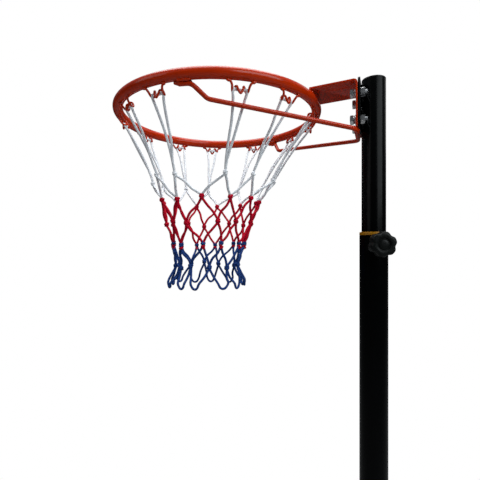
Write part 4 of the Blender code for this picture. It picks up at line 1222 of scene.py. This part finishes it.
def make_struts():
    """Round rods with both ends pressed flat and drilled."""
    tab, length = 0.002, 0.045  # of the flattened ends: half their thickness, and their reach

    def flare(share):
        """Half width and half thickness where a flattened end turns round, and how far that has gone."""
        k = (share - 0.4) / 0.6
        return 0.013 - 0.006 * k ** 1.5, tab + 0.005 * k ** 1.5, k

    for name, side in (("left", -1), ("right", 1)):
        top = Vector((side * (LOWER_R + GAP + tab), 0, centre_of("strut_top_bolt").z))
        foot = Vector((side * STRUT_FOOT_X, STRUT_FOOT_Y, STRUT_PAD_Z + tab))
        span = foot - top
        down = Vector((0, span.y, span.z)).normalized()
        out = Vector((span.x, span.y, 0)).normalized()
        across, lying = Vector((1, 0, 0)), Vector((0, 0, 1))
        start, end = top + down * length, foot - out * length + lying * 0.006
        run = (end - start).normalized()
        sections = []
        for back, wide in TAB_ENDS:
            sections.append(strut_section(top - down * back, down, across, wide, tab))
        for share in (0.4, 0.6, 0.8, 0.9):
            wide, thick, _ = flare(share)
            sections.append(strut_section(top + down * length * share, down, across, wide, thick))
        for i in range(25):
            blend = across.lerp(lying, i / 24)
            sections.append(strut_section(start.lerp(end, i / 24), run, blend, 0.007, 0.007))
        for share in (0.9, 0.8, 0.6, 0.4):
            wide, thick, k = flare(share)
            place = foot - out * length * share + lying * 0.006 * k
            sections.append(strut_section(place, out, lying, wide, thick))
        for back, wide in reversed(TAB_ENDS):
            sections.append(strut_section(foot + out * back, out, lying, wide, tab))
        strut = mesh_object(f"strut_{name}_look", lofted(sections), None, 50)
        for spot, turn in ((top, (1, 0, 0)), (foot, (0, 0, 1))):
            drilled(strut, spot, turn, STRUT_HOLE, -0.02, 0.02)
        piece(strut, BLACK, "stand", "black_paint", f"strut_{name}")
        bolt(f"strut_foot_bolt_{name}", "stand", M8, (0, 0, 1), 0.004)
    bolt("strut_top_bolt", "stand", M8, (-1, 0, 0), 0.045)
    nut("strut_top_nut", "stand", M8[0], 0.0035, (1, 0, 0))


# --- Studio -----------------------------------------------------------------------------------


def area_light(name, place, target, size, power, colour):
    lamp = bpy.data.lights.new(name, "AREA")
    lamp.shape = "RECTANGLE"
    lamp.size, lamp.size_y = size
    lamp.energy, lamp.color = power, colour
    obj = bpy.data.objects.new(name, lamp)
    bpy.context.scene.collection.objects.link(obj)
    obj.location = place
    obj.rotation_euler = (Vector(target) - Vector(place)).to_track_quat("-Z", "Y").to_euler()


def make_world():
    """White where the camera looks at it; to the object, a room that is dim below and light above."""
    world = bpy.data.worlds.new("studio")
    bpy.context.scene.world = world
    world.use_nodes = True
    tree = world.node_tree
    seen = tree.nodes["Background"]
    seen.inputs["Color"].default_value = (1, 1, 1, 1)
    split = new_node(tree, "SeparateXYZ")
    tree.links.new(new_node(tree, "TexCoord").outputs["Generated"], split.inputs[0])
    height = new_node(tree, "MapRange", From_Min=-1)
    tree.links.new(split.outputs["Z"], height.inputs["Value"])
    room = new_node(tree, "Background")
    light = ramp_of(tree, height.outputs["Result"], (
        (0.0, (0.09, 0.09, 0.09)), (0.42, (0.06, 0.06, 0.06)), (0.50, (0.008, 0.008, 0.008)),
        (0.58, (0.03, 0.03, 0.03)), (0.75, (0.13, 0.14, 0.15)), (1.0, (0.34, 0.36, 0.38))))
    tree.links.new(light, room.inputs["Color"])
    camera_ray = new_node(tree, "LightPath").outputs["Is Camera Ray"]
    mixed(tree, camera_ray, room, seen, tree.nodes["World Output"].inputs["Surface"])


def make_floor():
    """A pale floor that turns to the background's white away from the object."""
    bm = bmesh.new()
    bmesh.ops.create_circle(bm, cap_ends=True, segments=96, radius=9.0)
    bmesh.ops.translate(bm, vec=(0, 0.1, -0.0004), verts=bm.verts)
    floor = mesh_object("floor", bm)
    made = bpy.data.materials.new("pale_floor")
    made.use_nodes = True
    tree = made.node_tree
    shader = tree.nodes["Principled BSDF"]
    shader.inputs["Roughness"].default_value = 0.7
    camera_ray = new_node(tree, "LightPath").outputs["Is Camera Ray"]
    tone = new_node(tree, "MapRange", To_Min=0.45, To_Max=0.86)
    tree.links.new(camera_ray, tone.inputs["Value"])
    tree.links.new(tone.outputs["Result"], shader.inputs["Base Color"])
    length = new_node(tree, "VectorMath")
    length.operation = "LENGTH"
    tree.links.new(new_node(tree, "TexCoord").outputs["Object"], length.inputs[0])
    fade = new_node(tree, "MapRange", From_Min=0.7, From_Max=2.0)
    fade.interpolation_type = "SMOOTHSTEP"
    tree.links.new(length.outputs["Value"], fade.inputs["Value"])
    seen = new_node(tree, "Math")
    seen.operation = "MULTIPLY"
    tree.links.new(fade.outputs["Result"], seen.inputs[0])
    tree.links.new(camera_ray, seen.inputs[1])
    surface = tree.nodes["Material Output"].inputs["Surface"]
    mixed(tree, seen.outputs[0], shader, new_node(tree, "Emission"), surface)
    floor.data.materials.append(made)


def make_camera():
    camera = bpy.data.cameras.new("camera")
    camera.lens, camera.sensor_width, camera.shift_y = 26.23, 36, 0.7 / 480
    obj = bpy.data.objects.new("camera", camera)
    bpy.context.scene.collection.objects.link(obj)
    look = math.radians(21.95)
    obj.location = (0.776, 0.014, RIM.z - 0.300)
    obj.rotation_euler = Vector((-math.cos(look), -math.sin(look), 0)).to_track_quat("-Z", "Y").to_euler()
    bpy.context.scene.camera = obj


def finish_hidden_nodes():
    """CAD nodes that stay as they are: what is inside the poles, the tank and the knob."""
    for node, made in (("clamp_pad", NYLON), ("upper_guide", NYLON), ("clamp_stud", ZINC),
                       ("ballast_water", water_material())):
        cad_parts[node].data.materials[0] = made


make_camera()
make_world()
make_floor()
area_light("key", (1.45, 2.75, 3.85), (0, -0.1, 2.4), (3.0, 2.2), 88, (0.90, 0.98, 1.0))
area_light("fill", (2.4, -2.6, 3.6), (0, -0.3, 2.1), (2.0, 2.0), 14, (1.0, 0.98, 0.96))
area_light("top", (-0.3, -0.5, 4.8), (0, -0.3, 2.0), (2.6, 2.6), 80, (1.0, 1.0, 1.0))
area_light("back", (-2.8, 1.4, 4.2), (0, -0.1, 2.3), (2.0, 2.0), 8, (1.0, 1.0, 0.96))
bpy.context.scene.view_settings.view_transform = "Standard"

for make in (make_ring, make_hooks, make_rod, make_brackets, make_welds, make_bracket_bolts, make_net,
             make_poles, make_collar, make_clamp, make_tank, make_plug, make_wheels, make_struts,
             finish_hidden_nodes):
    make()
